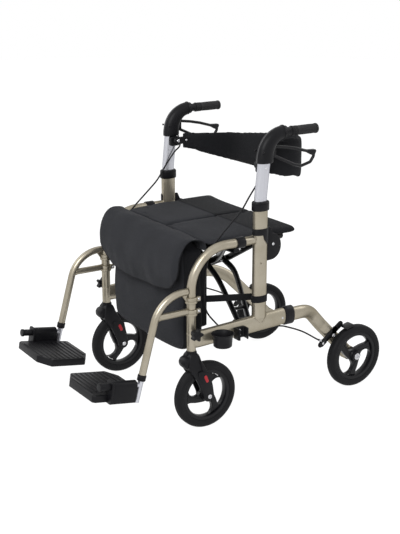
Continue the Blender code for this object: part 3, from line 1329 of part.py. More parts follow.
def make_carriers():
    """The bodies, each with its empty on the joint that moves it."""
    left, right = SIDES
    frame = Carrier("left_frame_pivot", None, (FRAME_X, UPRIGHT_Y, 0))
    first = Carrier("brace_from_left_pivot", frame, (PIVOT_X, 0, PIVOT_Z))
    second = Carrier("brace_from_right_pivot", first, (0, 0, CROSS_Z))
    seat = Carrier("left_seat_pivot", second, (SEAT_RAIL_X, 0, SEAT_RAIL_Z))
    seat_middle = SEAT_RAIL_Z + SEAT_RAIL_RADIUS + PLAY + SEAT_THICK / 2
    left.carriers["frame"] = frame
    right.carriers["frame"] = Carrier("right_frame_pivot", second, (-PIVOT_X, 0, PIVOT_Z))
    MIDDLE["brace_from_left"] = first
    MIDDLE["brace_from_right"] = second
    MIDDLE["left_seat"] = seat
    MIDDLE["right_seat"] = Carrier("right_seat_pivot", seat, (0, 0, seat_middle))
    axle_y = POST_Y + TRAIL
    for side in SIDES:
        side.carrier("handle", "frame", (FRAME_X, UPRIGHT_Y, UPRIGHT_TOP))
        side.carrier("lever", "handle", (FRAME_X, *LEVER_PIVOT))
        side.carrier("brake", "frame", (brake_face(), *BRAKE_PIVOT))
        side.carrier("caster", "frame", (FRAME_X, POST_Y, POST_BOTTOM))
        side.carrier("front_wheel", "caster", (FRAME_X, axle_y, WHEEL_RADIUS))
        side.carrier("rear_wheel", "frame", (REAR_WHEEL_X, REAR_AXLE_Y, WHEEL_RADIUS))
        side.carrier("hanger", "frame", (FRAME_X, POST_Y, HANGER_BAR_Z))
        side.carrier("legrest", "hanger", leg_line(HANGER_END_Z))
        side.carrier("footplate", "legrest", foot_point(FRAME_X, 0))
        side.carrier("knob", "frame", (FRAME_X + TUBE_RADIUS, POST_Y, KNOB_Z))
    hinge = (BACKREST_BRACKET_INNER, *BACKREST_PIVOT)
    MIDDLE["backrest"] = Carrier("backrest_pivot", left.carriers["handle"], hinge)


def make_side(side):
    axle_y = POST_Y + TRAIL
    front, rear = (FRAME_X, axle_y, WHEEL_RADIUS), (REAR_WHEEL_X, REAR_AXLE_Y, WHEEL_RADIUS)
    wheel(side, "front", "front_wheel", front, math.radians(WHEEL_TURNS[side.name][0]))
    wheel(side, "rear", "rear_wheel", rear, math.radians(WHEEL_TURNS[side.name][1]))
    for make in (
        front_loop, lower_rail, upright, upright_collar, rail_collar, rear_leg, seat_clip,
        seat_bracket, brake_arm, star_knob, fork, handle_bracket, grip, brake_lever,
        backrest_bracket, hanger, hanger_collar, legrest_tube, legrest_plug, footplate, brake_cable,
    ):
        make(side)
    side.node("handle_post", "silver", "handle", handle_post_form())


def main():
    clear_scene()
    make_carriers()
    for side in SIDES:
        make_side(side)
    left = SIDES[0]
    brace("brace_from_left", MIDDLE["brace_from_left"], 1)
    brace("brace_from_right", MIDDLE["brace_from_right"], -1)
    seat_half("left_seat", MIDDLE["left_seat"], 1)
    seat_half("right_seat", MIDDLE["right_seat"], -1)
    backrest_band(MIDDLE["backrest"])
    bag(left.carriers["frame"])
    cane_cup(left)
    cane_clip(left)
    shift = centre_on_floor(left.carriers["frame"])
    print("origin shift:", " ".join(f"{value:.5f}" for value in shift))
    for held in all_carriers():
        print(held.empty.name, " ".join(f"{value:.5f}" for value in held.empty.matrix_world.translation))


SIDES = (Side("left", 1), Side("right", -1))
MIDDLE = {}
main()
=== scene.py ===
import math

import bmesh
import bpy
from mathutils import Matrix, Vector, noise


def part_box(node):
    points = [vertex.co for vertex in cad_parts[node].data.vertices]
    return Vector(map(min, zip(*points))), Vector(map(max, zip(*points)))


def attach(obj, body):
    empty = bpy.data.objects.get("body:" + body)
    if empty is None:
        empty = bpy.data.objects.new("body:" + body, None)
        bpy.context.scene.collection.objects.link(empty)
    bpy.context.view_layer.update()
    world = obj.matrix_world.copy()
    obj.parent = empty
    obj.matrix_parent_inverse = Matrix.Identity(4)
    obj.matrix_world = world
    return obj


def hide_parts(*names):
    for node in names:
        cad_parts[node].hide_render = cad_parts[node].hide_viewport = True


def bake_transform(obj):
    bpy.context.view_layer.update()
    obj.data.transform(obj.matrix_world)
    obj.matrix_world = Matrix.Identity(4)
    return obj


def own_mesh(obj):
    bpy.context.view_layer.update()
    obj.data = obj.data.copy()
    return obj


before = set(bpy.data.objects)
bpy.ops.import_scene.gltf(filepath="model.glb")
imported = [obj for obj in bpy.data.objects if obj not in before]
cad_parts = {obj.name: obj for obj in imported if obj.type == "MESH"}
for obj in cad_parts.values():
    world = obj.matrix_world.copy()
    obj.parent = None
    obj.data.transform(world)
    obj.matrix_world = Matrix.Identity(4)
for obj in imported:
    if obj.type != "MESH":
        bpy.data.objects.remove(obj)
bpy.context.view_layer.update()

# Rollator with a seat, a bag in front and swing-away legrests.
# Every piece is drawn in metres on the left side and mirrored for the right.

frameX = 0.254        # middle of a side frame
postY = -0.200        # front post
uprightY = 0.033
loopTop = 0.536

uprightLow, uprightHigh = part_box("left_upright")
farUprightLow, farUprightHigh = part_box("right_upright")
middleX = (uprightHigh.x + farUprightLow.x) / 2
middleY = (uprightLow.y + uprightHigh.y) / 2
drawing = Vector((middleX, middleY - uprightY, 0))     # where the drawing's origin lies in the frame

xAxis = Vector((1, 0, 0))
yAxis = Vector((0, 1, 0))
zAxis = Vector((0, 0, 1))
sideOn = Matrix(((0, 0, 1, 0), (1, 0, 0, 0), (0, 1, 0, 0), (0, 0, 0, 1)))
endOn = Matrix(((1, 0, 0, 0), (0, 0, 1, 0), (0, 1, 0, 0), (0, 0, 0, 1)))
inPlan = Matrix.Identity(4)


# camera: the photograph's own place and lens

camera = {
    "at": (2.7724, -1.78964, 1.40623),
    "azimuth": 57.41,
    "elevation": 16.99,
    "lens": 76.33,
}

lens = bpy.data.cameras.new("photoCamera")
lens.lens = camera["lens"]
lens.sensor_width = 36
lens.sensor_fit = "AUTO"
viewer = bpy.data.objects.new("photoCamera", lens)
turn, tilt = math.radians(camera["azimuth"]), math.radians(camera["elevation"])
towards = Vector((math.sin(turn) * math.cos(tilt), -math.cos(turn) * math.cos(tilt), math.sin(tilt)))
viewer.location = camera["at"]
viewer.rotation_mode = "QUATERNION"
viewer.rotation_quaternion = towards.to_track_quat("Z", "Y")
bpy.context.scene.collection.objects.link(viewer)
bpy.context.scene.camera = viewer
bpy.context.scene.view_settings.view_transform = "Standard"
print("camera set")


# shader maths: a socket that takes part in plain expressions

class Reading:
    def __init__(self, finish, out):
        self.finish = finish
        self.out = out

    def maths(self, operation, first, second=0.0):
        return self.finish.add("ShaderNodeMath", {"operation": operation}, {0: first, 1: second})

    def __add__(self, other):
        return self.maths("ADD", self, other)

    def __radd__(self, other):
        return self.maths("ADD", other, self)

    def __sub__(self, other):
        return self.maths("SUBTRACT", self, other)

    def __rsub__(self, other):
        return self.maths("SUBTRACT", other, self)

    def __mul__(self, other):
        return self.maths("MULTIPLY", self, other)

    def __rmul__(self, other):
        return self.maths("MULTIPLY", other, self)

    def sine(self):
        return self.maths("SINE", self)


class Finish:
    def __init__(self, name):
        self.material = bpy.data.materials.new(name)
        self.material.use_nodes = True
        self.tree = self.material.node_tree
        self.shader = self.tree.nodes["Principled BSDF"]

    def plug(self, slot, value):
        if isinstance(value, Reading):
            self.tree.links.new(value.out, slot)
        elif isinstance(value, (tuple, list)) and len(value) == 3 and slot.type == "RGBA":
            slot.default_value = (*value, 1.0)
        else:
            slot.default_value = value

    def add(self, kind, settings=None, sockets=None, out=0):
        node = self.tree.nodes.new(kind)
        for key, value in (settings or {}).items():
            if key == "stops":
                for element, (position, shade) in zip(node.color_ramp.elements, value):
                    element.position = position
                    element.color = (shade, shade, shade, 1)
            else:
                setattr(node, key, value)
        for key, value in (sockets or {}).items():
            self.plug(node.inputs[key], value)
        return Reading(self, node.outputs[out])

    def surface(self, **values):
        for key, value in values.items():
            self.plug(self.shader.inputs[key.replace("_", " ")], value)
        return self.material

    def place(self, scale=(1, 1, 1), turned=(0, 0, 0), start=(0, 0, 0)):
        where = self.add("ShaderNodeTexCoord", out="Object")
        return self.add("ShaderNodeMapping", {"vector_type": "POINT"}, {
            "Vector": where, "Location": start, "Rotation": turned, "Scale": scale,
        })

    def grain(self, where, scale, detail=2.0, roughness=0.5):
        return self.add("ShaderNodeTexNoise", {"noise_dimensions": "3D"}, {
            "Vector": where, "Scale": scale, "Detail": detail, "Roughness": roughness,
        })

    def blend(self, share, first, second):
        mix = self.tree.nodes.new("ShaderNodeMix")
        mix.data_type = "RGBA"
        for slot, value in ((0, share), (6, first), (7, second)):
            self.plug(mix.inputs[slot], value)
        return Reading(self, mix.outputs[2])

    def ramp(self, value, low, high, start=0.0, end=1.0):
        return self.add("ShaderNodeMapRange", {"clamp": True}, {
            "Value": value, "From Min": low, "From Max": high, "To Min": start, "To Max": end,
        })

    def bump(self, height, depth, strength=1.0):
        return self.add("ShaderNodeBump", {}, {
            "Height": height, "Distance": depth, "Strength": strength,
        })

    def parts(self, where):
        split = self.tree.nodes.new("ShaderNodeSeparateXYZ")
        self.plug(split.inputs[0], where)
        return [Reading(self, split.outputs[index]) for index in range(3)]


paint = {
    "champagne": (0.37, 0.335, 0.268),
    "champagneDeep": (0.31, 0.277, 0.210),
    "champagneEdge": (0.22, 0.20, 0.15, 1),
    "flakeColour": (0.66, 0.62, 0.54),
    "flake": 9000,          # scale of the metal flakes
    "orangePeel": 260,
}


def champagnePaint():
    finish = Finish("champagnePaint")
    where = finish.place()
    cloud = finish.grain(where, 14, 3)
    flake = finish.grain(where, paint["flake"], 0)
    peel = finish.grain(where, paint["orangePeel"], 2)
    colour = finish.blend(finish.ramp(cloud, 0.35, 0.7), paint["champagne"], paint["champagneDeep"])
    colour = finish.blend(finish.ramp(flake, 0.55, 0.8, 0, 0.3), colour, paint["flakeColour"])
    rough = 0.25 + cloud * 0.10 + flake * 0.05
    return finish.surface(
        Base_Color=colour, Metallic=0.8, Roughness=rough, Coat_Weight=0.08, Coat_Roughness=0.12,
        Specular_Tint=paint["champagneEdge"],
        Normal=finish.bump(peel + flake * 0.2, 0.00006),
    )


anodised = {
    "light": (0.56, 0.565, 0.605),
    "dark": (0.50, 0.505, 0.545),
    "edge": (0.22, 0.22, 0.26, 1),
}


def anodisedTube():
    finish = Finish("anodisedTube")
    where = finish.place(scale=(1, 1, 0.02))
    lines = finish.grain(where, 420, 2)
    cloud = finish.grain(finish.place(), 30, 3)
    rough = 0.26 + lines * 0.03 + cloud * 0.04
    colour = finish.blend(finish.ramp(lines, 0.3, 0.75), anodised["light"], anodised["dark"])
    return finish.surface(
        Base_Color=colour, Metallic=0.85, Roughness=rough, Specular_Tint=anodised["edge"],
        Normal=finish.bump(lines, 0.00001),
    )


def mouldedPlastic(name, colour, lighter, rough, grainSize, depth, gloss):
    finish = Finish(name)
    where = finish.place()
    cloud = finish.grain(where, 18, 3)
    pits = finish.grain(where, grainSize, 2, 0.6)
    worn = finish.ramp(finish.grain(where, 60, 5), 0.62, 0.8)
    shade = finish.blend(finish.ramp(cloud, 0.3, 0.75), colour, lighter)
    return finish.surface(
        Base_Color=shade, Roughness=rough + pits * 0.14 - worn * 0.08,
        Normal=finish.bump(pits, depth), Specular_IOR_Level=gloss,
    )


def tyreRubber():
    finish = Finish("tyreRubber")
    where = finish.place()
    cloud = finish.grain(where, 40, 4)
    dust = finish.ramp(finish.grain(where, 700, 3), 0.5, 0.8)
    shade = finish.blend(cloud, (0.005, 0.005, 0.006), (0.009, 0.009, 0.010))
    shade = finish.blend(dust * 0.25, shade, (0.022, 0.022, 0.021))
    return finish.surface(
        Base_Color=shade, Roughness=0.62 + dust * 0.18, Normal=finish.bump(dust, 0.00008),
        Specular_IOR_Level=0.15,
    )


weave = {
    "threads": 5200,       # radians a metre: about 1.2 mm from thread to thread
    "dark": (0.019, 0.020, 0.023),
    "light": (0.030, 0.031, 0.036),
    "thread": (0.040, 0.041, 0.046),
}


def nylonCloth(name, depth=1.0):
    finish = Finish(name)
    shades = (weave["dark"], weave["light"], weave["thread"])
    dark, light, thread = (tuple(value * depth for value in shade) for shade in shades)
    where = finish.place()
    x, y, z = finish.parts(where)
    wander = finish.grain(where, 55, 2)
    across = ((x + y * 0.72 + wander * 0.0012) * weave["threads"]).sine()
    along = ((z + y * 0.69 - wander * 0.0012) * weave["threads"]).sine()
    threads = (across * along) * 0.5 + 0.5
    cloud = finish.grain(where, 9, 4)
    fuzz = finish.grain(where, 2400, 2)
    shade = finish.blend(finish.ramp(cloud, 0.3, 0.75), dark, light)
    shade = finish.blend(threads * 0.35, shade, thread)
    return finish.surface(
        Base_Color=shade, Roughness=0.78 + fuzz * 0.12, Sheen_Weight=0.03, Sheen_Roughness=0.45,
        Normal=finish.bump(threads + fuzz * 0.3, 0.00022), Specular_IOR_Level=0.1,
    )


def brightHardware():
    finish = Finish("brightHardware")
    where = finish.place()
    scratch = finish.grain(where, 1900, 3)
    colour = finish.blend(scratch, (0.62, 0.62, 0.63), (0.42, 0.42, 0.44))
    return finish.surface(Base_Color=colour, Metallic=1.0, Roughness=0.28 + scratch * 0.15)


plastics = {       # colour, lighter colour, roughness, scale and depth of the grain, gloss
    "plastic": ((0.0055, 0.0055, 0.0068), (0.0095, 0.0095, 0.011), 0.34, 900, 0.00008, 0.14),
    "gloss": ((0.0035, 0.0035, 0.0045), (0.006, 0.006, 0.0075), 0.22, 500, 0.00004, 0.2),
    "steel": ((0.004, 0.004, 0.005), (0.007, 0.007, 0.008), 0.28, 320, 0.00004, 0.2),
    "grip": ((0.010, 0.010, 0.011), (0.017, 0.017, 0.018), 0.5, 1300, 0.00012, 0.2),
    # light grey of the cowl's seam rib: a painted highlight
    "paintedHighlight": ((0.10, 0.10, 0.105), (0.17, 0.17, 0.175), 0.38, 600, 0.00004, 0.2),
    "sheath": ((0.005, 0.005, 0.006), (0.009, 0.009, 0.010), 0.38, 600, 0.00004, 0.15),
    "red": ((0.36, 0.012, 0.02), (0.48, 0.02, 0.028), 0.28, 500, 0.00004, 0.3),
}
finishes = {
    "champagne": champagnePaint(),
    "silver": anodisedTube(),
    "plastic": mouldedPlastic("mouldedPlastic", *plastics["plastic"]),
    "gloss": mouldedPlastic("wheelPlastic", *plastics["gloss"]),
    "steel": mouldedPlastic("paintedSteel", *plastics["steel"]),
    "grip": mouldedPlastic("gripRubber", *plastics["grip"]),
    "paintedHighlight": mouldedPlastic("seamPaintedHighlight", *plastics["paintedHighlight"]),
    "sheath": mouldedPlastic("cableSheath", *plastics["sheath"]),
    "red": mouldedPlastic("redInsert", *plastics["red"]),
    "tyre": tyreRubber(),
    "nylon": nylonCloth("nylonCloth"),
    # darker cloth: the colour of the band, webbing and piping, and of the seat's rear panel and underside; on
    # the bag's sides, top and back it is painted shade
    "darkNylonAndPaintedShade": nylonCloth("darkNylonAndPaintedShade", 0.42),
    "hardware": brightHardware(),
}
print("finishes made")


# forms

def ring(shape, at, along, across, halfAcross, halfUp, sides, power=1.0):
    along = Vector(along).normalized()
    across = Vector(across)
    across = (across - along * across.dot(along)).normalized()
    up = along.cross(across)
    points = bmesh.ops.create_circle(shape, segments=sides, radius=1.0)["verts"]
    edges = list({edge for point in points for edge in point.link_edges})
    for point in points:
        a, b = (math.copysign(abs(value) ** power, value) for value in point.co.xy)
        point.co = Vector(at) + across * (a * halfAcross) + up * (b * halfUp)
    return points, edges


def loft(stations, sides=32, power=1.0, across=xAxis):
    # stations are (centre, direction, half across, half up)
    shape = bmesh.new()
    rings = [ring(shape, *station[:2], across, *station[2:4], sides, power) for station in stations]
    for (_, first), (_, second) in zip(rings, rings[1:]):
        bmesh.ops.bridge_loops(shape, edges=first + second)
    for points, _ in (rings[0], rings[-1]):
        shape.faces.new(points)
    bmesh.ops.recalc_face_normals(shape, faces=shape.faces)
    return shape


def route(corners, bend, steps):
    corners = [Vector(corner) for corner in corners]
    stations = [(corners[0], (corners[1] - corners[0]).normalized())]
    for before, corner, after in zip(corners, corners[1:], corners[2:]):
        wayIn, wayOut = (corner - before).normalized(), (after - corner).normalized()
        angle = wayIn.angle(wayOut)
        reach = bend * math.tan(angle / 2)
        axis = wayIn.cross(wayOut).normalized()
        start = corner - wayIn * reach
        centre = start + axis.cross(wayIn) * bend
        for step in range(steps + 1):
            swing = Matrix.Rotation(angle * step / steps, 3, axis)
            stations.append((centre + swing @ (start - centre), swing @ wayIn))
    stations.append((corners[-1], (corners[-1] - corners[-2]).normalized()))
    return stations


def tube(corners, halfAcross, halfUp=None, bend=0.05, steps=12, sides=32, power=1.0, across=xAxis):
    halfUp = halfUp or halfAcross
    stations = [(at, along, halfAcross, halfUp) for at, along in route(corners, bend, steps)]
    return loft(stations, sides, power, across)


def rod(start, end, radius, sides=32, edge=0.0):
    # straight bar; edge rounds both of its ends
    start, end = Vector(start), Vector(end)
    heading = (end - start).normalized()
    across = zAxis if abs(heading.x) > 0.9 else xAxis
    places = [(start, 0), (end, 0)]
    if edge:
        places = [
            (start, edge), (start + heading * edge * 0.3, edge * 0.3), (start + heading * edge, 0),
            (end - heading * edge, 0), (end - heading * edge * 0.3, edge * 0.3), (end, edge),
        ]
    return loft([(at, heading, radius - less, radius - less) for at, less in places], sides, 1.0, across)


def spun(profile, at=(0, 0, 0), axis=xAxis, steps=64):
    # profile of (along, radius) turned about the axis
    shape = bmesh.new()
    axis = Vector(axis)
    out = yAxis if abs(axis.z) > 0.9 else zAxis
    at = Vector(at)
    points = [shape.verts.new(at + axis * along + out * radius) for along, radius in profile]
    edges = [shape.edges.new(pair) for pair in zip(points, points[1:])]
    if profile[0][1] > 0 and profile[-1][1] > 0:
        edges.append(shape.edges.new((points[-1], points[0])))
    bmesh.ops.spin(
        shape, geom=points + edges, cent=at, axis=axis,
        angle=2 * math.pi, steps=steps, use_merge=True,
    )
    bmesh.ops.remove_doubles(shape, verts=shape.verts, dist=1e-6)
    bmesh.ops.recalc_face_normals(shape, faces=shape.faces)
    return shape


def slab(outline, low, high, space=sideOn, edge=0.0, segments=3, over=40):
    # outline given thickness from low to high, with rounded edges
    shape = bmesh.new()
    face = shape.faces.new([shape.verts.new((a, b, low)) for a, b in outline])
    moved = bmesh.ops.extrude_face_region(shape, geom=[face])["geom"]
    for point in moved:
        if isinstance(point, bmesh.types.BMVert):
            point.co.z = high
    bmesh.ops.recalc_face_normals(shape, faces=shape.faces)
    if edge:
        soften(shape, edge, segments, over)
    bmesh.ops.transform(shape, matrix=space, verts=shape.verts)
    bmesh.ops.recalc_face_normals(shape, faces=shape.faces)
    return shape


def soften(shape, width, segments=3, over=40):
    edges = [edge for edge in shape.edges if edge.calc_face_angle(0) > math.radians(over)]
    bmesh.ops.bevel(
        shape, geom=edges, offset=width, segments=segments, affect="EDGES",
        profile=0.5, material=-1, clamp_overlap=True,
    )
    return shape


def roundCorners(corners, radius, steps=6):
    points = [Vector((a, b, 0)) for a, b in corners]
    outline = []
    for index, corner in enumerate(points):
        before, after = points[index - 1], points[(index + 1) % len(points)]
        wayIn, wayOut = (corner - before).normalized(), (after - corner).normalized()
        angle = wayIn.angle(wayOut)
        if angle < 0.05:
            outline.append(corner.xy[:])
            continue
        room = min((corner - before).length, (after - corner).length) * 0.48
        bend = min(radius, room / math.tan(angle / 2))
        axis = wayIn.cross(wayOut).normalized()
        start = corner - wayIn * (bend * math.tan(angle / 2))
        centre = start + axis.cross(wayIn) * bend
        for step in range(steps + 1):
            swing = Matrix.Rotation(angle * step / steps, 3, axis)
            outline.append((centre + swing @ (start - centre)).xy[:])
    return outline


def linkOutline(first, second, firstRadius, secondRadius, steps=12):
    first, second = Vector(first), Vector(second)
    heading = math.atan2(second.y - first.y, second.x - first.x)
    outline = []
    for centre, radius, start in ((first, firstRadius, 0.5), (second, secondRadius, -0.5)):
        for step in range(steps + 1):
            angle = heading + math.pi * (start + step / steps)
            outline.append((centre.x + radius * math.cos(angle), centre.y + radius * math.sin(angle)))
    return outline


def smoothPath(points, steps):
    points = [Vector(point) for point in points]
    ends = [points[0] * 2 - points[1]] + points + [points[-1] * 2 - points[-2]]
    found = []
    for a, b, c, d in zip(ends, ends[1:], ends[2:], ends[3:]):
        for step in range(steps):
            t = step / steps
            found.append(
                0.5 * (2 * b + (c - a) * t + (2 * a - 5 * b + 4 * c - d) * t ** 2
                       + (3 * b - a - 3 * c + d) * t ** 3)
            )
    return found + [points[-1]]


def along(points, halfAcross, halfUp=None, sides=12, across=xAxis, power=1.0):
    # one section swept through points
    halfUp = halfUp or halfAcross
    stations = []
    for index, point in enumerate(points):
        before, after = points[max(index - 1, 0)], points[min(index + 1, len(points) - 1)]
        stations.append((point, after - before, halfAcross, halfUp))
    return loft(stations, sides, power, across)


def together(*shapes):
    whole = bmesh.new()
    for shape in shapes:
        held = bpy.data.meshes.new("held")
        shape.to_mesh(held)
        whole.from_mesh(held)
        shape.free()
        bpy.data.meshes.remove(held)
    return whole


def standOn(shape, at, axis):
    # turns a shape that is drawn along z to the axis and moves it to its place
    turned = zAxis.rotation_difference(Vector(axis).normalized()).to_matrix().to_4x4()
    bmesh.ops.transform(shape, matrix=Matrix.Translation(Vector(at)) @ turned, verts=shape.verts)
    return shape


def bolt(at, axis, radius, height=0.003, socket=True):
    # button head with a hexagonal socket
    profile = [
        (-0.001, 0), (-0.001, radius), (height * 0.35, radius), (height * 0.75, radius * 0.82),
        (height, radius * 0.5),
    ]
    if socket:
        profile += [(height * 0.95, radius * 0.46), (height * 0.45, radius * 0.44), (height * 0.4, 0)]
    else:
        profile += [(height * 1.05, 0)]
    return standOn(spun(profile, (0, 0, 0), zAxis, 20), at, axis)


# pieces

signs = {"left": 1, "right": -1}     # the way along x


def addPiece(name, shape, finish, body, replaces=(), sign=1, sharp=32):
    mesh = bpy.data.meshes.new(name)
    if sign < 0:
        bmesh.ops.transform(shape, matrix=Matrix.Scale(-1, 4, xAxis), verts=shape.verts)
        bmesh.ops.reverse_faces(shape, faces=shape.faces)
    bmesh.ops.translate(shape, vec=drawing, verts=shape.verts)
    shape.to_mesh(mesh)
    shape.free()
    mesh.shade_smooth()
    if sharp:
        mesh.set_sharp_from_angle(angle=math.radians(sharp))
    mesh.materials.append(finishes[finish])
    piece = bpy.data.objects.new(name, mesh)
    bpy.context.scene.collection.objects.link(piece)
    if body:
        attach(piece, body)
    if replaces:
        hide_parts(*replaces)
    return piece


def addSide(side, name, shape, finish, body, node=None):
    # a piece of one side, on that side's body and in place of its node
    replaces = [f"{side}_{node}"] if node else ()
    return addPiece(f"{side}_{name}", shape, finish, f"{side}_{body}", replaces, signs[side])


def settle(piece):
    # the mesh as its modifiers leave it
    graph = bpy.context.evaluated_depsgraph_get()
    graph.update()
    mesh = bpy.data.meshes.new_from_object(piece.evaluated_get(graph))
    piece.modifiers.clear()
    piece.data = mesh
    return piece


def carve(shape, cutter, operation="DIFFERENCE"):
    # one bmesh cut by another
    pair = []
    for part in (shape, cutter):
        mesh = bpy.data.meshes.new("carving")
        part.to_mesh(mesh)
        part.free()
        thing = bpy.data.objects.new("carving", mesh)
        bpy.context.scene.collection.objects.link(thing)
        pair.append(thing)
    body, tool = pair
    modifier = body.modifiers.new("carve", "BOOLEAN")
    modifier.operation = operation
    modifier.solver = "EXACT"
    modifier.object = tool
    graph = bpy.context.evaluated_depsgraph_get()
    graph.update()
    mesh = bpy.data.meshes.new_from_object(body.evaluated_get(graph))
    result = bmesh.new()
    result.from_mesh(mesh)
    for thing in pair:
        held = thing.data
        bpy.data.objects.remove(thing, do_unlink=True)
        bpy.data.meshes.remove(held)
    bpy.data.meshes.remove(mesh)
    return result


# wheels

wheels = {
    "radius": 0.100,
    "steps": 96,
    "rimRadius": 0.0777,
    "rimHalf": 0.0125,
    "tyreHalf": 0.015,
    "bandInner": 0.0655,
    "hubRadius": 0.0195,
    "hubHalf": 0.017,
    "webHalf": 0.0065,
    "spokeHalf": 0.0105,
    "flare": 0.012,
    "sweep": math.radians(34),
    "rearX": 0.2486,
    "rearY": 0.406,
    "trail": 0.046,
    "turns": {"left": (-30, 49), "right": (27, 0)},      # front and rear, in degrees
}


def tyreProfile():
    top = wheels["radius"]
    profile = [(-0.0125, 0.0779), (-0.0138, 0.0815), (-0.0149, 0.0868), (-0.0147, 0.0905)]
    for step in range(7):
        angle = math.radians(8 + 70 * step / 6)
        profile.append((-0.0048 - 0.0095 * math.cos(angle), top - 0.0096 + 0.0096 * math.sin(angle)))
    for groove in (-0.0026, 0.0026):
        profile += [
            (groove - 0.0006, top), (groove - 0.0004, top - 0.0011),
            (groove + 0.0004, top - 0.0011), (groove + 0.0006, top),
        ]
    half = [(-x, r) for x, r in profile[:11]]
    return profile + half[::-1]


def spokeOutline(index, turned):
    edges = ([], [])
    steps = 18
    for step in range(steps + 1):
        share = step / steps
        radius = wheels["hubRadius"] - 0.003 + share * (wheels["bandInner"] + 0.004 - wheels["hubRadius"])
        half = wheels["spokeHalf"] + wheels["flare"] * abs(2 * share - 1) ** 3
        heading = turned + 2 * math.pi * index / 3 - wheels["sweep"] * share
        for edge, sign in zip(edges, (1, -1)):
            angle = heading + sign * math.asin(min(half / radius, 0.95))
            edge.append((radius * math.cos(angle), radius * math.sin(angle)))
    return edges[0] + edges[1][::-1]


def makeWheel(side, kind, centre, turned):
    body = f"{kind}_wheel"
    tyre = spun(tyreProfile(), centre, steps=wheels["steps"])
    addSide(side, f"{kind}_tyre_skin", tyre, "tyre", body, f"{kind}_tyre")
    half, inner, outer = wheels["rimHalf"], wheels["bandInner"], wheels["rimRadius"]
    band = [
        (-half, inner + 0.003), (-half, outer - 0.0012), (-half + 0.0008, outer), (half - 0.0008, outer),
        (half, outer - 0.0012), (half, inner + 0.003), (half - 0.001, inner + 0.0015),
        (half - 0.003, inner + 0.0006), (0.004, inner - 0.0006), (-0.004, inner - 0.0006),
        (-half + 0.003, inner + 0.0006), (-half + 0.001, inner + 0.0015),
    ]
    web = wheels["webHalf"]
    hubHalf, hub = wheels["hubHalf"], wheels["hubRadius"]
    hubForm = [
        (-hubHalf, 0.0085), (-hubHalf, 0.0135), (-hubHalf + 0.0015, 0.0155), (-web - 0.004, 0.0168),
        (-web - 0.001, hub - 0.0004), (-web, hub), (web, hub), (web + 0.001, hub - 0.0004),
        (web + 0.004, 0.0168), (hubHalf - 0.0015, 0.0155), (hubHalf, 0.0135), (hubHalf, 0.0085),
    ]
    parts = [spun(band, centre, steps=wheels["steps"]), spun(hubForm, centre, steps=48)]
    x, y, z = centre
    for index in range(3):
        outline = [(y + a, z + b) for a, b in spokeOutline(index, turned)]
        parts.append(slab(outline, x - web, x + web, edge=0.0022, segments=4))
        heading = turned + 2 * math.pi * index / 3 - wheels["sweep"] * 0.5
        rib = [
            (y + radius * math.cos(heading + lean), z + radius * math.sin(heading + lean))
            for radius, lean in ((0.020, 0.30), (0.064, -0.27), (0.064, -0.33), (0.020, 0.18))
        ]
        parts.append(slab(rib, x - web - 0.0012, x + web + 0.0012, edge=0.001, segments=2))
    addSide(side, f"{kind}_wheel_form", together(*parts), "gloss", body, f"{kind}_rim")


for side in signs:
    front, rear = (math.radians(turned) for turned in wheels["turns"][side])
    makeWheel(side, "front", (frameX, postY + wheels["trail"], wheels["radius"]), front)
    makeWheel(side, "rear", (wheels["rearX"], wheels["rearY"], wheels["radius"]), rear)
print("wheels made")


# seat, backrest band and bag

padding = {
    "voxel": 0.0045,
    "pressure": 4.0,
    "frames": 20,
    "quality": 4,
    "mass": 0.3,
    "stiffness": 15,
    "bending": 0.6,
}


def inflate(piece, cap):
    # cloth blown up a little inside a cap, so that the pad swells between its seams
    remesh = piece.modifiers.new("remesh", "REMESH")
    remesh.mode = "VOXEL"
    remesh.voxel_size = padding["voxel"]
    settle(piece)
    rest = [point.co.copy() for point in piece.data.vertices]
    cloth = piece.modifiers.new("cloth", "CLOTH")
    cloth.settings.quality = padding["quality"]
    cloth.settings.mass = padding["mass"]
    cloth.settings.tension_stiffness = padding["stiffness"]
    cloth.settings.compression_stiffness = padding["stiffness"]
    cloth.settings.bending_stiffness = padding["bending"]
    cloth.settings.use_pressure = True
    cloth.settings.uniform_pressure_force = padding["pressure"]
    cloth.settings.effector_weights.gravity = 0
    scene = bpy.context.scene
    for number in range(1, padding["frames"] + 1):
        scene.frame_set(number)
    settle(piece)
    scene.frame_set(1)
    for point, start in zip(piece.data.vertices, rest):
        moved = point.co - start
        if moved.length > cap:
            point.co = start + moved * (cap / moved.length)
    return piece


def ease(piece, times):
    shape = bmesh.new()
    shape.from_mesh(piece.data)
    for _ in range(times):
        bmesh.ops.smooth_vert(
            shape, verts=shape.verts, factor=0.5, use_axis_x=True, use_axis_y=True, use_axis_z=True,
        )
    shape.to_mesh(piece.data)
    shape.free()


def reshape(piece, move):
    # move gets a point in the drawing and gives how far it shifts
    for point in piece.data.vertices:
        point.co += move(point.co - drawing)
    piece.data.update()


seat = {
    "half": 0.2362,
    "front": -0.136,
    "back": 0.183,
    "bottom": 0.530,
    "top": 0.5505,
    "fore": {"left": 0.032, "right": 0.013},     # radius of each front corner
    "rear": {"left": 0.014, "right": 0.009},     # and of each rear one
    "lift": (0.006, 0.0065),                     # how far the far edge is pulled out and up
    "upright": (0.036, 0.030),                   # middle and half length of the upright beside it
    "channelY": 0.047,                           # seam in front of the darker rear panel
    "hemY": -0.119,
    "crown": 0.004,
    "grid": (28, 40),
    "swell": 0.0022,                             # the most that the cloth may move out
    "eased": 3,
}


def seatHalfWidth(y, side):
    ends = ((seat["fore"][side], seat["front"], 1), (seat["rear"][side], seat["back"], -1))
    for corner, edge, way in ends:
        inside = (y - edge) * way
        if inside < corner:
            short = min(corner - inside, corner)
            return seat["half"] - corner + math.sqrt(corner ** 2 - short ** 2)
    return seat["half"]


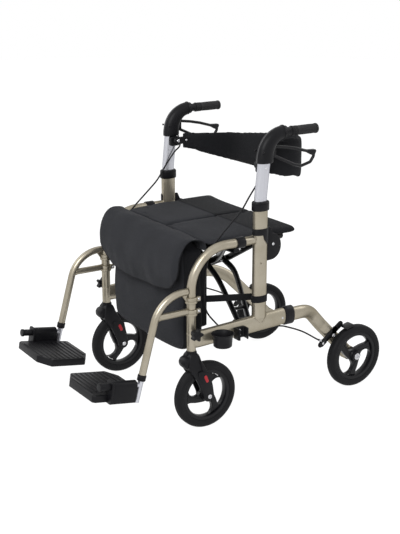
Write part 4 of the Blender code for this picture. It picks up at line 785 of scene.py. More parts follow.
def seatHeight(x, y):
    u = min(abs(x) / seat["half"], 1)
    v = (y - seat["front"]) / (seat["back"] - seat["front"])
    crown = seat["crown"] * (1 - u ** 4) * (1 - abs(2 * v - 1) ** 4)
    return seat["top"] - seat["crown"] + crown


def closeMiddle(piece, sign):
    # meant to close the seam between the halves, but the remesh has numbered the points anew,
    # so what it moves lies elsewhere
    columns, rows = seat["grid"][0] + 1, seat["grid"][1] + 1
    points = piece.data.vertices
    for row in range(rows):
        first = row * columns
        for column in (0, 1):
            points[first + column].co.z = points[first + 2].co.z
        points[first].co.x = drawing.x + sign * 0.00005
    crease = piece.data.attributes.new("crease_edge", "FLOAT", "EDGE")
    for edge in piece.data.edges:
        if all(index < rows * columns and index % columns == 0 for index in edge.vertices):
            crease.data[edge.index].value = 1.0


def makeSeat(side):
    shape = bmesh.new()
    bmesh.ops.create_grid(shape, x_segments=seat["grid"][0], y_segments=seat["grid"][1], size=1.0)
    for point in shape.verts:
        u, v = (point.co.x + 1) / 2, (1 - math.cos(math.pi * (point.co.y + 1) / 2)) / 2
        y = seat["front"] + 0.002 + v * (seat["back"] - seat["front"] - 0.004)
        x = 0.0007 + u * (seatHalfWidth(y, side) - 0.0022)
        rim = max(0.0, (u - 0.93) / 0.07) ** 2 * 0.004
        point.co = (x, y, seatHeight(x, y) - 0.0012 - rim)
    moved = bmesh.ops.extrude_face_region(shape, geom=shape.faces[:])["geom"]
    for point in moved:
        if isinstance(point, bmesh.types.BMVert):
            hem = max(0.0, 1 - (point.co.y - seat["front"]) / 0.02)
            point.co.z = seat["bottom"] + 0.0012 + 0.009 * hem
    bmesh.ops.recalc_face_normals(shape, faces=shape.faces)
    piece = addPiece(
        f"{side}_seat_pad", shape, "nylon", f"{side}_seat_half", [f"{side}_seat"], signs[side], 0,
    )
    inflate(piece, seat["swell"])
    ease(piece, seat["eased"])
    closeMiddle(piece, signs[side])

    def sewn(at):
        # seams on the top: the rear panel stands a little proud of the front one
        if at.z < seat["bottom"] + 0.009:
            return Vector((0, 0, max(0.0, seat["bottom"] + 0.0004 - at.z)))
        step = 1 / (1 + math.exp(-(at.y - seat["channelY"]) / 0.0012))
        depth = 0.0018 * (1 - step) + 0.0016 * math.exp(-((at.y - seat["channelY"] + 0.003) / 0.0028) ** 2)
        depth += 0.0010 * math.exp(-((at.y - seat["hemY"]) / 0.0022) ** 2)
        wave = noise.noise(Vector((at.x * 14, at.y * 12, 2.4))) * 0.0009
        return Vector((0, 0, wave - depth))

    reshape(piece, sewn)
    subdivide = piece.modifiers.new("round", "SUBSURF")
    subdivide.levels = subdivide.render_levels = 1
    settle(piece)
    piece.data.shade_smooth()
    reshape(piece, lambda at: Vector((0, 0, min(0.0, seat["top"] + 0.0015 - at.z))))

    def lifted(at):
        # over its rail, with less room beside the upright
        share = min(max((at.y - seat["front"]) / 0.12, 0.0), 1.0) ** 1.5 * (abs(at.x) / seat["half"]) ** 5
        out = seat["lift"][0] * (0.35 if abs(at.y - seat["upright"][0]) < seat["upright"][1] else 1.0)
        return Vector((-out * share, 0, seat["lift"][1] * share))

    if side == "right":
        reshape(piece, lifted)
    places = piece.data.vertices
    for edge in piece.data.edges:
        if all(abs(places[index].co.x - drawing.x) < 0.0007 for index in edge.vertices):
            edge.use_edge_sharp = True
    piece.data.materials.append(finishes["darkNylonAndPaintedShade"])
    for face in piece.data.polygons:
        at = face.center - drawing
        if at.y > seat["channelY"] or at.z < seat["bottom"] + 0.008:
            face.material_index = 1
    return piece


for side in signs:
    pad = makeSeat(side)
    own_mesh(pad)
print("seat made")


band = {
    "half": 0.2195,
    "depth": 0.165,
    "start": 0.067,      # where the cloth begins, behind its two arms
    "flat": 0.13,
    "swell": 0.002,
    "eased": 2,
    "edges": (           # place across the band, its top edge and its lower edge
        (-1.0, 0.7690, 0.7180), (-0.998, 0.7655, 0.7045), (-0.991, 0.7635, 0.6965), (-0.966, 0.7620, 0.6885),
        (-0.93, 0.7612, 0.6835), (-0.866, 0.7607, 0.6788), (-0.8, 0.7607, 0.6755), (-0.707, 0.7611, 0.6725),
        (-0.6, 0.7620, 0.6700), (-0.5, 0.7632, 0.6685), (-0.38, 0.7650, 0.6672), (-0.26, 0.7674, 0.6662),
        (-0.13, 0.7715, 0.6660), (0.13, 0.8065, 0.6720), (0.26, 0.8075, 0.6740), (0.5, 0.8065, 0.6780),
        (0.707, 0.8055, 0.6835), (0.8, 0.8060, 0.6880), (0.87, 0.8080, 0.6920), (0.93, 0.8120, 0.6935),
        (0.966, 0.8125, 0.6940), (0.991, 0.8110, 0.6970), (0.998, 0.8060, 0.7030), (1.0, 0.7900, 0.7150),
    ),
}
band["curve"] = smoothPath([Vector(row) for row in band["edges"]], 8)


def bandEdges(across):
    rows = band["curve"]
    for first, second in zip(rows, rows[1:]):
        if across <= second[0]:
            share = (across - first[0]) / (second[0] - first[0])
            return [first[index] * (1 - share) + second[index] * share for index in (1, 2)]
    return rows[-1][1:]


def bandStations(count, thin=0.0):
    stations = []
    for step in range(count + 1):
        angle = math.pi * step / count
        across, back = -math.cos(angle), max(0.0, math.sin(angle))
        x = band["half"] * math.copysign(abs(across) ** 0.3, across)
        y = band["start"] + band["depth"] * back ** 0.45
        high, low = bandEdges(across)
        if abs(across) < band["flat"]:
            # straight from side to side over the back
            reach = band["half"] * band["flat"] ** 0.3
            share = (x + reach) / (2 * reach)
            first, second = bandEdges(-band["flat"]), bandEdges(band["flat"])
            high, low = (first[index] * (1 - share) + second[index] * share for index in (0, 1))
        halfThick = 0.0065 + 0.002 * back ** 0.35
        stations.append([Vector((x, y, (high + low) / 2)), (high - low) / 2 - thin, halfThick - thin])
    points = [station[0] for station in stations]
    sections = []
    for index, (point, halfHigh, halfThick) in enumerate(stations):
        before, after = points[max(index - 1, 0)], points[min(index + 1, len(points) - 1)]
        heading = after - before
        heading.z = 0
        sections.append((point, heading, halfHigh, halfThick))
    return sections


def makeBand():
    shape = loft(bandStations(60, 0.001), sides=40, power=0.5, across=zAxis)
    piece = addPiece("backrest_pad", shape, "darkNylonAndPaintedShade", "backrest", ["backrest_band"], 1, 0)
    inflate(piece, band["swell"])
    ease(piece, band["eased"])
    subdivide = piece.modifiers.new("round", "SUBSURF")
    subdivide.levels = subdivide.render_levels = 1
    settle(piece)
    piece.data.shade_smooth()
    return piece


def squashBand(piece):
    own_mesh(piece)


squashBand(makeBand())
print("backrest made")


# side frames

tubes = {
    "loopRadius": 0.013,
    "loopBend": 0.115,
    "postBottom": 0.243,
    "uprightHalf": (0.015, 0.023),
    "uprightTop": 0.620,
    "railHalf": (0.015, 0.025),
    "railFrontZ": 0.272,
    "railBackY": 0.121,
    "railBackZ": 0.286,
    "legHalf": (0.015, 0.0205),
    "legX": 0.2155,
    "legBendY": 0.295,
    "legSlope": 1.02,
    "legBend": 0.12,
    "oval": 0.9,
    "weld": 0.0015,
}
pivotX, pivotZ = 0.225, 0.285      # hub of the cross braces
seatRail = {"x": 0.195, "z": 0.518, "radius": 0.0115, "front": -0.112, "back": 0.152}
brakeFace = tubes["legX"] + tubes["legHalf"][0] + 0.0003


def railZ(y):
    share = (y - postY) / (tubes["railBackY"] - postY)
    return tubes["railFrontZ"] + share * (tubes["railBackZ"] - tubes["railFrontZ"])


def uprightForm(low, high, halfX, halfY, sides=48):
    stations = [((frameX, uprightY, z), zAxis, halfX, halfY) for z in (low, high)]
    return loft(stations, sides, tubes["oval"])


def capped(sizes, halfX, halfZ, at, heading, sides=48):
    # oval sleeve through (place along, how much narrower)
    stations = [
        (Vector(at) + Vector(heading) * place, heading, halfX - less, halfZ - less) for place, less in sizes
    ]
    return loft(stations, sides, tubes["oval"])


def weldRing(at, axis, radius, thick):
    # bead round the foot of a tube
    profile = [
        (thick * math.cos(math.pi * step / 4), radius + thick * 0.8 * math.sin(math.pi * step / 4))
        for step in range(5)
    ]
    return standOn(spun(profile, (0, 0, 0), zAxis, 40), at, axis)


def makeLoop(side):
    radius = tubes["loopRadius"]
    corners = [
        (frameX, postY, tubes["postBottom"]), (frameX, postY, loopTop), (frameX, uprightY - 0.0215, loopTop),
    ]
    shape = soften(tube(corners, radius, bend=tubes["loopBend"], steps=28, sides=40), 0.0010, 2, 60)
    bead = weldRing((frameX, uprightY - 0.0225, loopTop), yAxis, radius, tubes["weld"])
    addSide(side, "loop_tube", together(shape, bead), "champagne", "frame", "front_loop")


def makeRail(side):
    halfX, halfZ = tubes["railHalf"]
    backY, backZ = tubes["railBackY"], tubes["railBackZ"]
    slope = (0, backY - postY, backZ - tubes["railFrontZ"])
    front, full = postY + 0.004, postY + 0.030
    stations = [
        ((frameX, front, railZ(front)), slope, 0.0122, halfZ - 0.0015),
        ((frameX, front + 0.013, railZ(front + 0.013)), slope, halfX - 0.0010, halfZ - 0.0005),
        ((frameX, full, railZ(full)), slope, halfX, halfZ),
        ((frameX, backY, backZ), yAxis, halfX, halfZ),
    ]
    parts = [loft(stations, 56, tubes["oval"])]
    for low in (-0.0343, 0.0278):
        outline = linkOutline((pivotX, pivotZ), (frameX - 0.004, pivotZ), 0.0095, 0.012)
        parts.append(slab(outline, low, low + 0.0045, endOn, 0.0008, 2))
    parts.append(rod((pivotX, -0.032, pivotZ), (pivotX, 0.030, pivotZ), 0.005))
    parts.append(weldRing((frameX, postY, railZ(postY) + halfZ - 0.004), zAxis, 0.013, tubes["weld"]))
    addSide(side, "rail_tube", together(*parts), "champagne", "frame", "lower_rail")
    heads = [
        bolt((pivotX, -0.0343, pivotZ), (0, -1, 0), 0.0062, 0.0032),
        bolt((pivotX, 0.0323, pivotZ), (0, 1, 0), 0.0062, 0.0032),
        bolt((frameX + halfX - 0.0004, 0.1098, 0.2854), xAxis, 0.0034, 0.0014),
    ]
    addSide(side, "rail_bolts", together(*heads), "hardware", "frame")


def makeUpright(side):
    halfX, halfY = tubes["uprightHalf"]
    foot = railZ(uprightY) + tubes["railHalf"][1] * 0.66
    shape = uprightForm(foot, tubes["uprightTop"], halfX, halfY, 56)
    hole = rod((frameX + halfX - 0.003, 0.0273, 0.4669), (frameX + halfX + 0.003, 0.0273, 0.4669), 0.0024, 20)
    shape = carve(shape, hole)
    path = []
    for step in range(50):
        angle = 2 * math.pi * step / 48
        c, s = math.cos(angle), math.sin(angle)
        x = halfX * math.copysign(abs(c) ** 0.8, c)
        y = uprightY + (halfY + 0.0003) * math.copysign(abs(s) ** 0.8, s)
        inside = min(abs(x) / tubes["railHalf"][0], 1)
        rise = tubes["railHalf"][1] * max(0.0, 1 - inside ** 2.5) ** 0.4
        path.append(Vector((frameX + x * 1.01, y, railZ(y) + max(rise, 0.004))))
    bead = along(path, tubes["weld"], sides=10)
    addSide(side, "upright_tube", together(shape, bead), "champagne", "frame", "upright")


def makeCollars(side):
    low, high = 0.6203, 0.6475
    halfX, halfY = tubes["uprightHalf"][0] + 0.0040, tubes["uprightHalf"][1] + 0.0042
    sizes = (
        (low, 0.0022), (low + 0.0008, 0.0008), (low + 0.0025, 0.0), (high - 0.0075, 0.0),
        (high - 0.0070, 0.0007), (high - 0.0062, 0.0007), (high - 0.0057, 0.0), (high - 0.003, 0.0003),
        (high - 0.001, 0.0016), (high, 0.0034),
    )
    collar = capped(sizes, halfX, halfY, (frameX, uprightY, 0), (0, 0, 1))
    addSide(side, "height_collar", collar, "plastic", "frame", "upright_collar")
    start, end = tubes["railBackY"] + 0.0003, tubes["railBackY"] + 0.032
    sizes = (
        (start, 0.0020), (start + 0.0006, 0.0007), (start + 0.0018, 0.0), (start + 0.006, 0.0),
        (start + 0.0065, 0.0006), (start + 0.0075, 0.0006), (start + 0.008, 0.0), (end - 0.0025, 0.0),
        (end - 0.0008, 0.0007), (end, 0.0021),
    )
    halfX, halfZ = tubes["railHalf"][0] + 0.0035, tubes["railHalf"][1] + 0.0035
    collar = capped(sizes, halfX, halfZ, (frameX, 0, tubes["railBackZ"]), (0, 1, 0))
    addSide(side, "rail_sleeve", collar, "plastic", "frame", "rail_collar")


def makeLeg(side):
    rearY, axleZ = wheels["rearY"], wheels["radius"]
    railZAtBack, slope, bendY, legX = tubes["railBackZ"], tubes["legSlope"], tubes["legBendY"], tubes["legX"]
    corners = [
        (frameX, tubes["railBackY"] + 0.0325, railZAtBack),
        (frameX, rearY - (railZAtBack - axleZ) / slope, railZAtBack),
        (legX, bendY, axleZ + (rearY - bendY) * slope),
        (legX, rearY, axleZ),
    ]
    halfX, halfZ = tubes["legHalf"]
    kneeY = corners[1][1]
    straight = [(frameX, corner[1], corner[2]) for corner in corners]
    stations = []
    for at, heading in route(straight, tubes["legBend"], 20):
        # eased sideways from the rail's plane to the wheel's inner side
        share = min(max((at.y - kneeY + 0.055) / (bendY - kneeY + 0.055), 0.0), 1.0)
        share = share * share * (3 - 2 * share)
        stations.append((Vector((frameX + (legX - frameX) * share, at.y, at.z)), heading, halfX, halfZ))
    leg = loft(stations, 48, tubes["oval"])
    inner, outer = legX - halfX, legX + halfX
    boss = spun([
        (inner, 0), (inner, 0.0190), (inner + 0.0009, 0.0211), (inner + 0.003, 0.022),
        (outer - 0.002, 0.022), (outer - 0.0004, 0.0212), (outer, 0.019), (outer, 0),
    ], (0, rearY, axleZ), steps=64)
    addSide(side, "leg_tube", together(leg, boss), "champagne", "frame", "rear_leg")
    hubIn, hubOut = wheels["rearX"] - wheels["hubHalf"], wheels["rearX"] + wheels["hubHalf"]
    axle = spun([
        (outer - 0.001, 0), (outer - 0.001, 0.011), (hubIn - 0.0005, 0.011), (hubIn - 0.0005, 0.0074),
        (hubOut + 0.0010, 0.0074), (hubOut + 0.0010, 0.0098), (hubOut + 0.0016, 0.0104),
        (hubOut + 0.0026, 0.0104), (hubOut + 0.0032, 0.0098), (hubOut + 0.0032, 0.0066),
        (hubOut + 0.0050, 0.0064), (hubOut + 0.0050, 0.0040), (hubOut + 0.0022, 0.0038), (hubOut + 0.0022, 0),
    ], (0, rearY, axleZ), steps=48)
    addSide(side, "rear_axle", axle, "hardware", "frame")
    y, z = brakes["pivot"]
    pin = together(
        rod((legX, y, z), (brakeFace + 0.0030, y, z), 0.0039, 24),
        bolt((brakeFace + 0.0026, y, z), xAxis, 0.0062, 0.0028),
    )
    addSide(side, "brake_pin", pin, "hardware", "frame")


brakes = {
    "pivot": (0.336, 0.174),
    "thick": 0.0024,
    "shoeGap": 0.003,
    "shoeThick": 0.006,
}


def makeBrake(side):
    y, z = brakes["pivot"]
    far = brakeFace + brakes["thick"]
    inner = wheels["radius"] + brakes["shoeGap"]
    outer, heading = inner + brakes["shoeThick"] + 0.0066, math.radians(112.9)
    rearY, axleZ = wheels["rearY"], wheels["radius"]
    shoeEnd = (rearY + outer * math.cos(heading), axleZ + outer * math.sin(heading))
    bar, neck = (
        slab(linkOutline(*link), brakeFace, far, edge=0.0007, segments=2) for link in (
            ((y - 0.0505, z - 0.021), shoeEnd, 0.0095, 0.0105),
            ((y, z), (y + 0.003, z + 0.020), 0.0075, 0.010),
        )
    )
    shoe = []
    for radius, angles in ((inner, (112, 95)), (inner + brakes["shoeThick"], (97, 115))):
        for step in range(9):
            angle = math.radians(angles[0] + (angles[1] - angles[0]) * step / 8)
            shoe.append((rearY + radius * math.cos(angle), axleZ + radius * math.sin(angle)))
    pad = slab(shoe, brakeFace, wheels["rearX"] + wheels["tyreHalf"] - 0.002, edge=0.0010, segments=2)
    block = slab(
        linkOutline((y - 0.0475, z - 0.020), (y - 0.037, z - 0.0115), 0.0080, 0.0085),
        brakeFace - 0.0002, far + 0.0040, edge=0.0012, segments=3,
    )
    addSide(side, "brake_lever_arm", together(bar, neck, pad, block), "steel", "brake", "brake_arm")
    middle = Vector((brakeFace + brakes["thick"] / 2, y - 0.0575, z - 0.0035))
    line = Vector((0, 0.88, -0.475))
    barrel = together(
        rod(middle, middle + line * 0.011, 0.0042, 28, 0.0008),
        rod(middle + line * 0.0105, middle + line * 0.019, 0.0011, 14),
        bolt((far + 0.0038, y - 0.0435, z - 0.017), xAxis, 0.0042, 0.0022),
    )
    addSide(side, "cable_barrel", barrel, "hardware", "brake")


def makeSeatClip(side):
    start, end = -0.052, -0.024
    radius = tubes["loopRadius"]
    band = rod((frameX, start, loopTop), (frameX, end, loopTop), radius + 0.0032, 48, 0.0012)
    low = seatRail["z"] - seatRail["radius"] - 0.006
    under = seatRail["z"] + seatRail["radius"] - 0.001
    outline = roundCorners([
        (frameX - 0.0065, loopTop - 0.0135), (frameX - 0.0095, low + 0.003),
        (seatRail["x"] + 0.0055, low), (seatRail["x"] + 0.0055, low + 0.012),
        (seatRail["x"] + 0.0125, under), (frameX - 0.0175, under),
    ], 0.0022, 3)
    arm = slab(outline, start + 0.001, end - 0.001, endOn, 0.0012, 3)
    x, z = seatRail["x"], seatRail["z"]
    arm = carve(arm, rod((x, start - 0.01, z), (x, end + 0.01, z), seatRail["radius"] + 0.0003, 40))
    addSide(side, "seat_saddle", together(band, arm), "plastic", "frame", "seat_clip")
    screw = bolt((frameX, -0.038, loopTop - radius - 0.0030), (0, 0, -1), 0.0032, 0.0060, False)
    addSide(side, "saddle_screw", screw, "hardware", "frame")


def makeSeatBracket(side):
    wall = 0.0025
    halfX, halfY = tubes["uprightHalf"]
    low = loopTop + tubes["loopRadius"] + 0.0007
    high, cheek = low + 0.0185, low - 0.028
    back = uprightY + halfY
    band = soften(uprightForm(cheek, high, halfX + wall, halfY + wall, 56), 0.0008, 2, 60)
    front = [
        (uprightY - 0.05, cheek - 0.01), (uprightY - 0.05, low), (back - 0.022, low),
        (back - 0.018, low - 0.014), (back - 0.010, low - 0.023), (back + 0.004, cheek - 0.01),
    ]
    band = carve(band, slab(front, frameX - 0.04, frameX + 0.04))
    inner = [
        (uprightY - 0.05, cheek - 0.01), (back + 0.01, cheek - 0.01),
        (back + 0.01, high + 0.01), (uprightY - 0.05, high + 0.01),
    ]
    band = carve(band, slab(inner, frameX - 0.04, frameX - 0.0035))
    band = carve(band, uprightForm(cheek - 0.05, high + 0.05, halfX + 0.0002, halfY + 0.0002, 56))
    edge = back + 0.0012
    middleZ, halfZ, reach = loopTop - 0.028, 0.041, 0.050
    outline = [(edge, middleZ - halfZ), (edge, high - 0.001), (edge + 0.010, high - 0.001)]
    for step in range(25):
        angle = math.pi * (0.42 - 0.84 * step / 24)
        outline.append((edge + reach * math.cos(angle) ** 0.7, middleZ + halfZ * math.sin(angle)))
    shield = slab(outline, frameX - 0.0025, frameX + 0.0025, edge=0.0012, segments=3)
    addSide(side, "seat_shield", together(band, shield), "plastic", "frame", "seat_bracket")
    heads = [
        bolt((frameX + 0.0024, 0.0786, 0.5145), xAxis, 0.0042, 0.0022),
        bolt((frameX - 0.0024, 0.0786, 0.5145), -xAxis, 0.0042, 0.0022),
    ]
    addSide(side, "shield_bolts", together(*heads), "hardware", "frame")


knob = {"z": 0.298, "radius": 0.019, "lobes": 5, "wave": 0.0038}


def makeKnob(side):
    face = frameX + tubes["loopRadius"] + 0.0003
    outline = []
    count = knob["lobes"] * 16
    for step in range(count):
        angle = 2 * math.pi * step / count
        wave = math.cos(knob["lobes"] * angle)
        radius = knob["radius"] - knob["wave"] + knob["wave"] * math.copysign(abs(wave) ** 0.8, wave)
        outline.append((postY + radius * math.cos(angle), knob["z"] + radius * math.sin(angle)))
    lobes = slab(outline, face + 0.008, face + 0.0245, edge=0.0035, segments=4, over=60)
    neck = spun([
        (face, 0), (face, 0.0098), (face + 0.0015, 0.0104), (face + 0.004, 0.0088), (face + 0.010, 0.0085),
        (face + 0.010, 0),
    ], (0, postY, knob["z"]), steps=40)
    cap = spun([
        (face + 0.0235, 0), (face + 0.0235, 0.0065), (face + 0.0250, 0.0062), (face + 0.0256, 0.0048),
        (face + 0.0258, 0),
    ], (0, postY, knob["z"]), steps=40)
    addSide(side, "knob_form", together(lobes, neck, cap), "plastic", "knob", "star_knob")


# casters

casters = {
    "half": 0.026,
    "slotHalf": 0.0178,
    "wheelRoom": 0.007,
    "top": 0.2385,
    "stem": 0.0058,
    "shoulder": 0.042,
    "neckIn": 0.36,
}


def makeFork(side):
    axleY, axleZ = postY + wheels["trail"], wheels["radius"]
    top, half = casters["top"], casters["half"]
    outline = [
        (postY - 0.022, top), (postY + 0.022, top), (postY + 0.0234, top - 0.0239),
        (postY + 0.0352, top - 0.0485), (axleY + 0.005, top - 0.0765), (axleY + 0.013, axleZ + 0.033),
        (axleY + 0.0175, axleZ + 0.004),
    ]
    for step in range(1, 12):
        angle = -math.pi * step / 12
        outline.append((axleY + 0.0175 * math.cos(angle), axleZ + 0.0175 * math.sin(angle)))
    outline += [
        (axleY - 0.0176, axleZ + 0.004), (axleY - 0.024, axleZ + 0.019), (axleY - 0.0395, axleZ + 0.0536),
        (postY - 0.012, top - 0.0585), (postY - 0.022, top - 0.039),
    ]
    outline = roundCorners(outline, 0.012, 4)
    body = slab(outline, frameX - half, frameX + half, edge=0.0058, segments=5, over=55)
    for point in body.verts:
        # the shoulders draw in towards the neck
        near = min(max((point.co.z - (top - casters["shoulder"])) / casters["shoulder"], 0.0), 1.0)
        size = 1 - casters["neckIn"] * near ** 1.5
        point.co.x = frameX + (point.co.x - frameX) * size
        point.co.y = postY + (point.co.y - postY) * size
    drum = spun([
        (-0.0185, 0), (-0.0185, 0.0120), (-0.0170, 0.0155), (-0.0120, 0.0178), (0, 0.0186),
        (0.0120, 0.0178), (0.0170, 0.0155), (0.0185, 0.0120), (0.0185, 0),
    ], (frameX, postY - 0.0165, top - 0.028), steps=56)
    slot, slotAgain = (
        rod(
            (frameX - casters["slotHalf"], axleY, axleZ), (frameX + casters["slotHalf"], axleY, axleZ),
            axleZ + casters["wheelRoom"], 72,
        ) for _ in range(2)
    )
    body = carve(together(body), slot)
    drum = carve(drum, slotAgain)
    padMiddle, lean = Vector((axleY - 0.0115, axleZ + 0.057)), Vector((-0.38, 0.92)) * 0.0075
    inserts, rims = [], []
    for face in (1, -1):
        near = frameX + face * (half - 0.004)
        for made, radius, proud, edge, segments in (
            (inserts, 0.0050, 0.0010, 0.0008, 3), (rims, 0.0066, 0.0004, 0.0005, 2),
        ):
            low, high = sorted((near, frameX + face * (half + proud)))
            oval = linkOutline(padMiddle - lean, padMiddle + lean, radius, radius, 10)
            made.append(slab(oval, low, high, edge=edge, segments=segments))
    reach = half + 0.003
    axle = spun([
        (-reach, 0), (-reach, 0.0052), (-reach + 0.001, 0.0064), (-half + 0.0005, 0.0066),
        (-half + 0.0005, 0.0088), (-half - 0.0004, 0.0090), (-half + 0.0015, 0.0095),
        (-half + 0.0015, 0.0074),
        (half - 0.0015, 0.0074), (half - 0.0015, 0.0095), (half + 0.0004, 0.0090),
        (half - 0.0005, 0.0088), (half - 0.0005, 0.0066), (reach - 0.001, 0.0064), (reach, 0.0052),
        (reach, 0.0036), (reach - 0.0018, 0.0034), (reach - 0.0018, 0),
    ], (frameX, axleY, axleZ), steps=40)
    cup = tubes["postBottom"] - 0.0003
    stem = spun([
        (top - 0.008, 0), (top - 0.008, 0.0162), (top + 0.0006, 0.0160), (top + 0.0012, 0.0146),
        (cup - 0.0004, 0.0144), (cup, 0.0138), (cup, casters["stem"]),
        (cup + 0.030, casters["stem"]), (cup + 0.030, 0),
    ], (frameX, postY, 0), zAxis, 48)
    blades = []
    for face in (1, -1):
        low, high = sorted((frameX + face * (half - 0.004), frameX + face * (half + 0.0008)))
        spine = [
            (postY + 0.004, top - 0.052), (axleY + 0.002, axleZ + 0.074), (axleY + 0.0100, axleZ + 0.034),
            (axleY + 0.0125, axleZ + 0.002), (axleY, axleZ - 0.0115), (axleY - 0.0125, axleZ + 0.002),
            (axleY - 0.0195, axleZ + 0.022), (axleY - 0.0335, axleZ + 0.055),
        ]
        blades.append(slab(roundCorners(spine, 0.009, 4), low, high, edge=0.0012, segments=3))
    parts = [body, drum, stem] + blades + rims
    addSide(side, "fork_form", together(*parts), "plastic", "caster", "fork")
    addSide(side, "fork_insert", together(*inserts), "red", "caster")
    addSide(side, "fork_axle", axle, "hardware", "caster")


for side in signs:
    for make in (
        makeLoop, makeRail, makeUpright, makeCollars, makeLeg, makeBrake, makeSeatClip, makeSeatBracket,
        makeKnob, makeFork,
    ):
        make(side)
print("side frames made")


# handles

handles = {
    "barZ": 0.838,
    "postTop": 0.772,
    "postBottom": 0.460,
    "postBend": 0.660,
    "lean": math.radians(5.7),
    "gripStart": 0.134,
    "gripEnd": 0.226,
    "gripRadius": 0.0138,
    "lever": (0.068, 0.790),
    "leverRod": 0.0045,
    "backrest": (0.047, 0.744),
}


def makePost(side):
    halfX = tubes["uprightHalf"][0] - 0.0030
    halfY = tubes["uprightHalf"][1] - 0.0030
    lean = (handles["postTop"] - handles["postBend"]) * math.tan(handles["lean"])
    corners = [
        (frameX, uprightY, handles["postBottom"]), (frameX, uprightY, handles["postBend"]),
        (frameX, uprightY + lean, handles["postTop"]),
    ]
    shape = tube(corners, halfX, halfY, bend=0.2, steps=8, sides=56, power=tubes["oval"])
    addSide(side, "handle_tube", shape, "silver", "handle", "handle_post")
    screw = bolt((frameX + halfX - 0.0003, 0.0415, 0.7406), xAxis, 0.0038, 0.0016)
    addSide(side, "tube_screw", screw, "hardware", "handle")


def makeCowl(side):
    rows = (
        (0.012, 0.0825, 90, 0.0235, 0.0160), (0.012, 0.0812, 90, 0.0258, 0.0180),
        (0.0122, 0.078, 90, 0.0266, 0.0187), (0.013, 0.063, 88, 0.0262, 0.0192),
        (0.018, 0.041, 70, 0.0247, 0.0187), (0.031, 0.021, 42, 0.0226, 0.0186),
        (0.050, 0.007, 15, 0.0206, 0.0182), (0.0695, 0.0005, 3, 0.0194, 0.0178),
    )
    places = smoothPath([Vector((behind, below, degrees)) for behind, below, degrees, _, _ in rows], 6)
    sizes = smoothPath([Vector((plane, across, 0)) for _, _, _, plane, across in rows], 6)
    stations, spine = [], []
    for place, size in zip(places, sizes):
        angle = math.radians(place.z)
        heading = Vector((0, math.cos(angle), math.sin(angle)))
        centre = Vector((frameX, uprightY + place.x, handles["barZ"] - place.y))
        stations.append((centre, heading, size.y, size.x))
        outward = Vector((0, -math.sin(angle), math.cos(angle)))
        spine.append(centre + outward * (size.x + 0.0001))
    shell = loft(stations, 56, 0.92)
    barZ = handles["barZ"]
    flange = spun([
        (0.1015, 0), (0.1015, 0.0176), (0.1022, 0.0195), (0.1036, 0.0205), (0.1060, 0.0205), (0.1072, 0.0196),
        (0.1078, 0.0180), (0.1100, 0.0176), (0.1150, 0.0174), (0.1165, 0.0160), (0.1170, 0.0122),
        (0.1338, 0.0120), (0.1338, 0),
    ], (frameX, 0, barZ), yAxis, 56)
    bar = rod((frameX, 0.110, barZ), (frameX, 0.222, barZ), 0.0105, 32)
    y, z = handles["lever"]
    slot = slab([
        (y - 0.0125, z - 0.0135), (y - 0.001, z - 0.024), (y + 0.020, z - 0.024),
        (y + 0.020, z + 0.0205), (y - 0.0125, z + 0.0205),
    ], frameX - 0.0062, frameX + 0.0062)
    shell = carve(shell, slot)
    form = together(shell, flange, bar)
    addSide(side, "handle_cowl", form, "plastic", "handle", "handle_bracket")
    # raised rib along the cowl's parting line, light grey as a painted highlight on that edge
    seam = along(spine[10:], 0.0008, 0.0008, 8)
    addSide(side, "cowl_seam_highlight", seam, "paintedHighlight", "handle")
    screws = together(
        bolt((frameX + 0.0188, 0.0271, 0.7896), xAxis, 0.0030, 0.0014),
        bolt((frameX - 0.0188, 0.0271, 0.7896), -xAxis, 0.0030, 0.0014),
    )
    addSide(side, "cowl_screws", screws, "steel", "handle")


def makeGrip(side):
    start, end, radius = handles["gripStart"], handles["gripEnd"], handles["gripRadius"]
    profile = [
        (start, 0), (start, radius - 0.0018), (start + 0.0008, radius + 0.0009),
        (start + 0.0032, radius + 0.0009),
    ]
    for index in range(4):
        place = start + 0.0045 + index * 0.0042
        profile += [
            (place, radius - 0.0012), (place + 0.0008, radius + 0.0003), (place + 0.0026, radius + 0.0003),
        ]
    bodyStart, bodyEnd = start + 0.0225, end - 0.0085
    for step in range(17):
        share = step / 16
        swell = 0.0004 * math.sin(math.pi * share)
        profile.append((bodyStart + (bodyEnd - bodyStart) * share, radius - 0.0003 + swell))
    profile += [
        (end - 0.0075, radius - 0.0011), (end - 0.0066, radius + 0.0006), (end - 0.0030, radius + 0.0008),
        (end - 0.0012, radius + 0.0002), (end - 0.0003, radius - 0.0018), (end, radius - 0.0045), (end, 0),
    ]
    form = spun(profile, (frameX, 0, handles["barZ"]), yAxis, 96)
    for point in form.verts:
        # lengthwise flutes in the body of the grip
        out = Vector((point.co.x - frameX, 0, point.co.z - handles["barZ"]))
        if bodyStart + 0.002 < point.co.y < bodyEnd - 0.002 and out.length > 0.01:
            angle = math.atan2(out.z, out.x)
            point.co -= out.normalized() * 0.00075 * max(0.0, math.cos(angle * 16)) ** 2
    addSide(side, "grip_form", form, "grip", "handle", "grip")


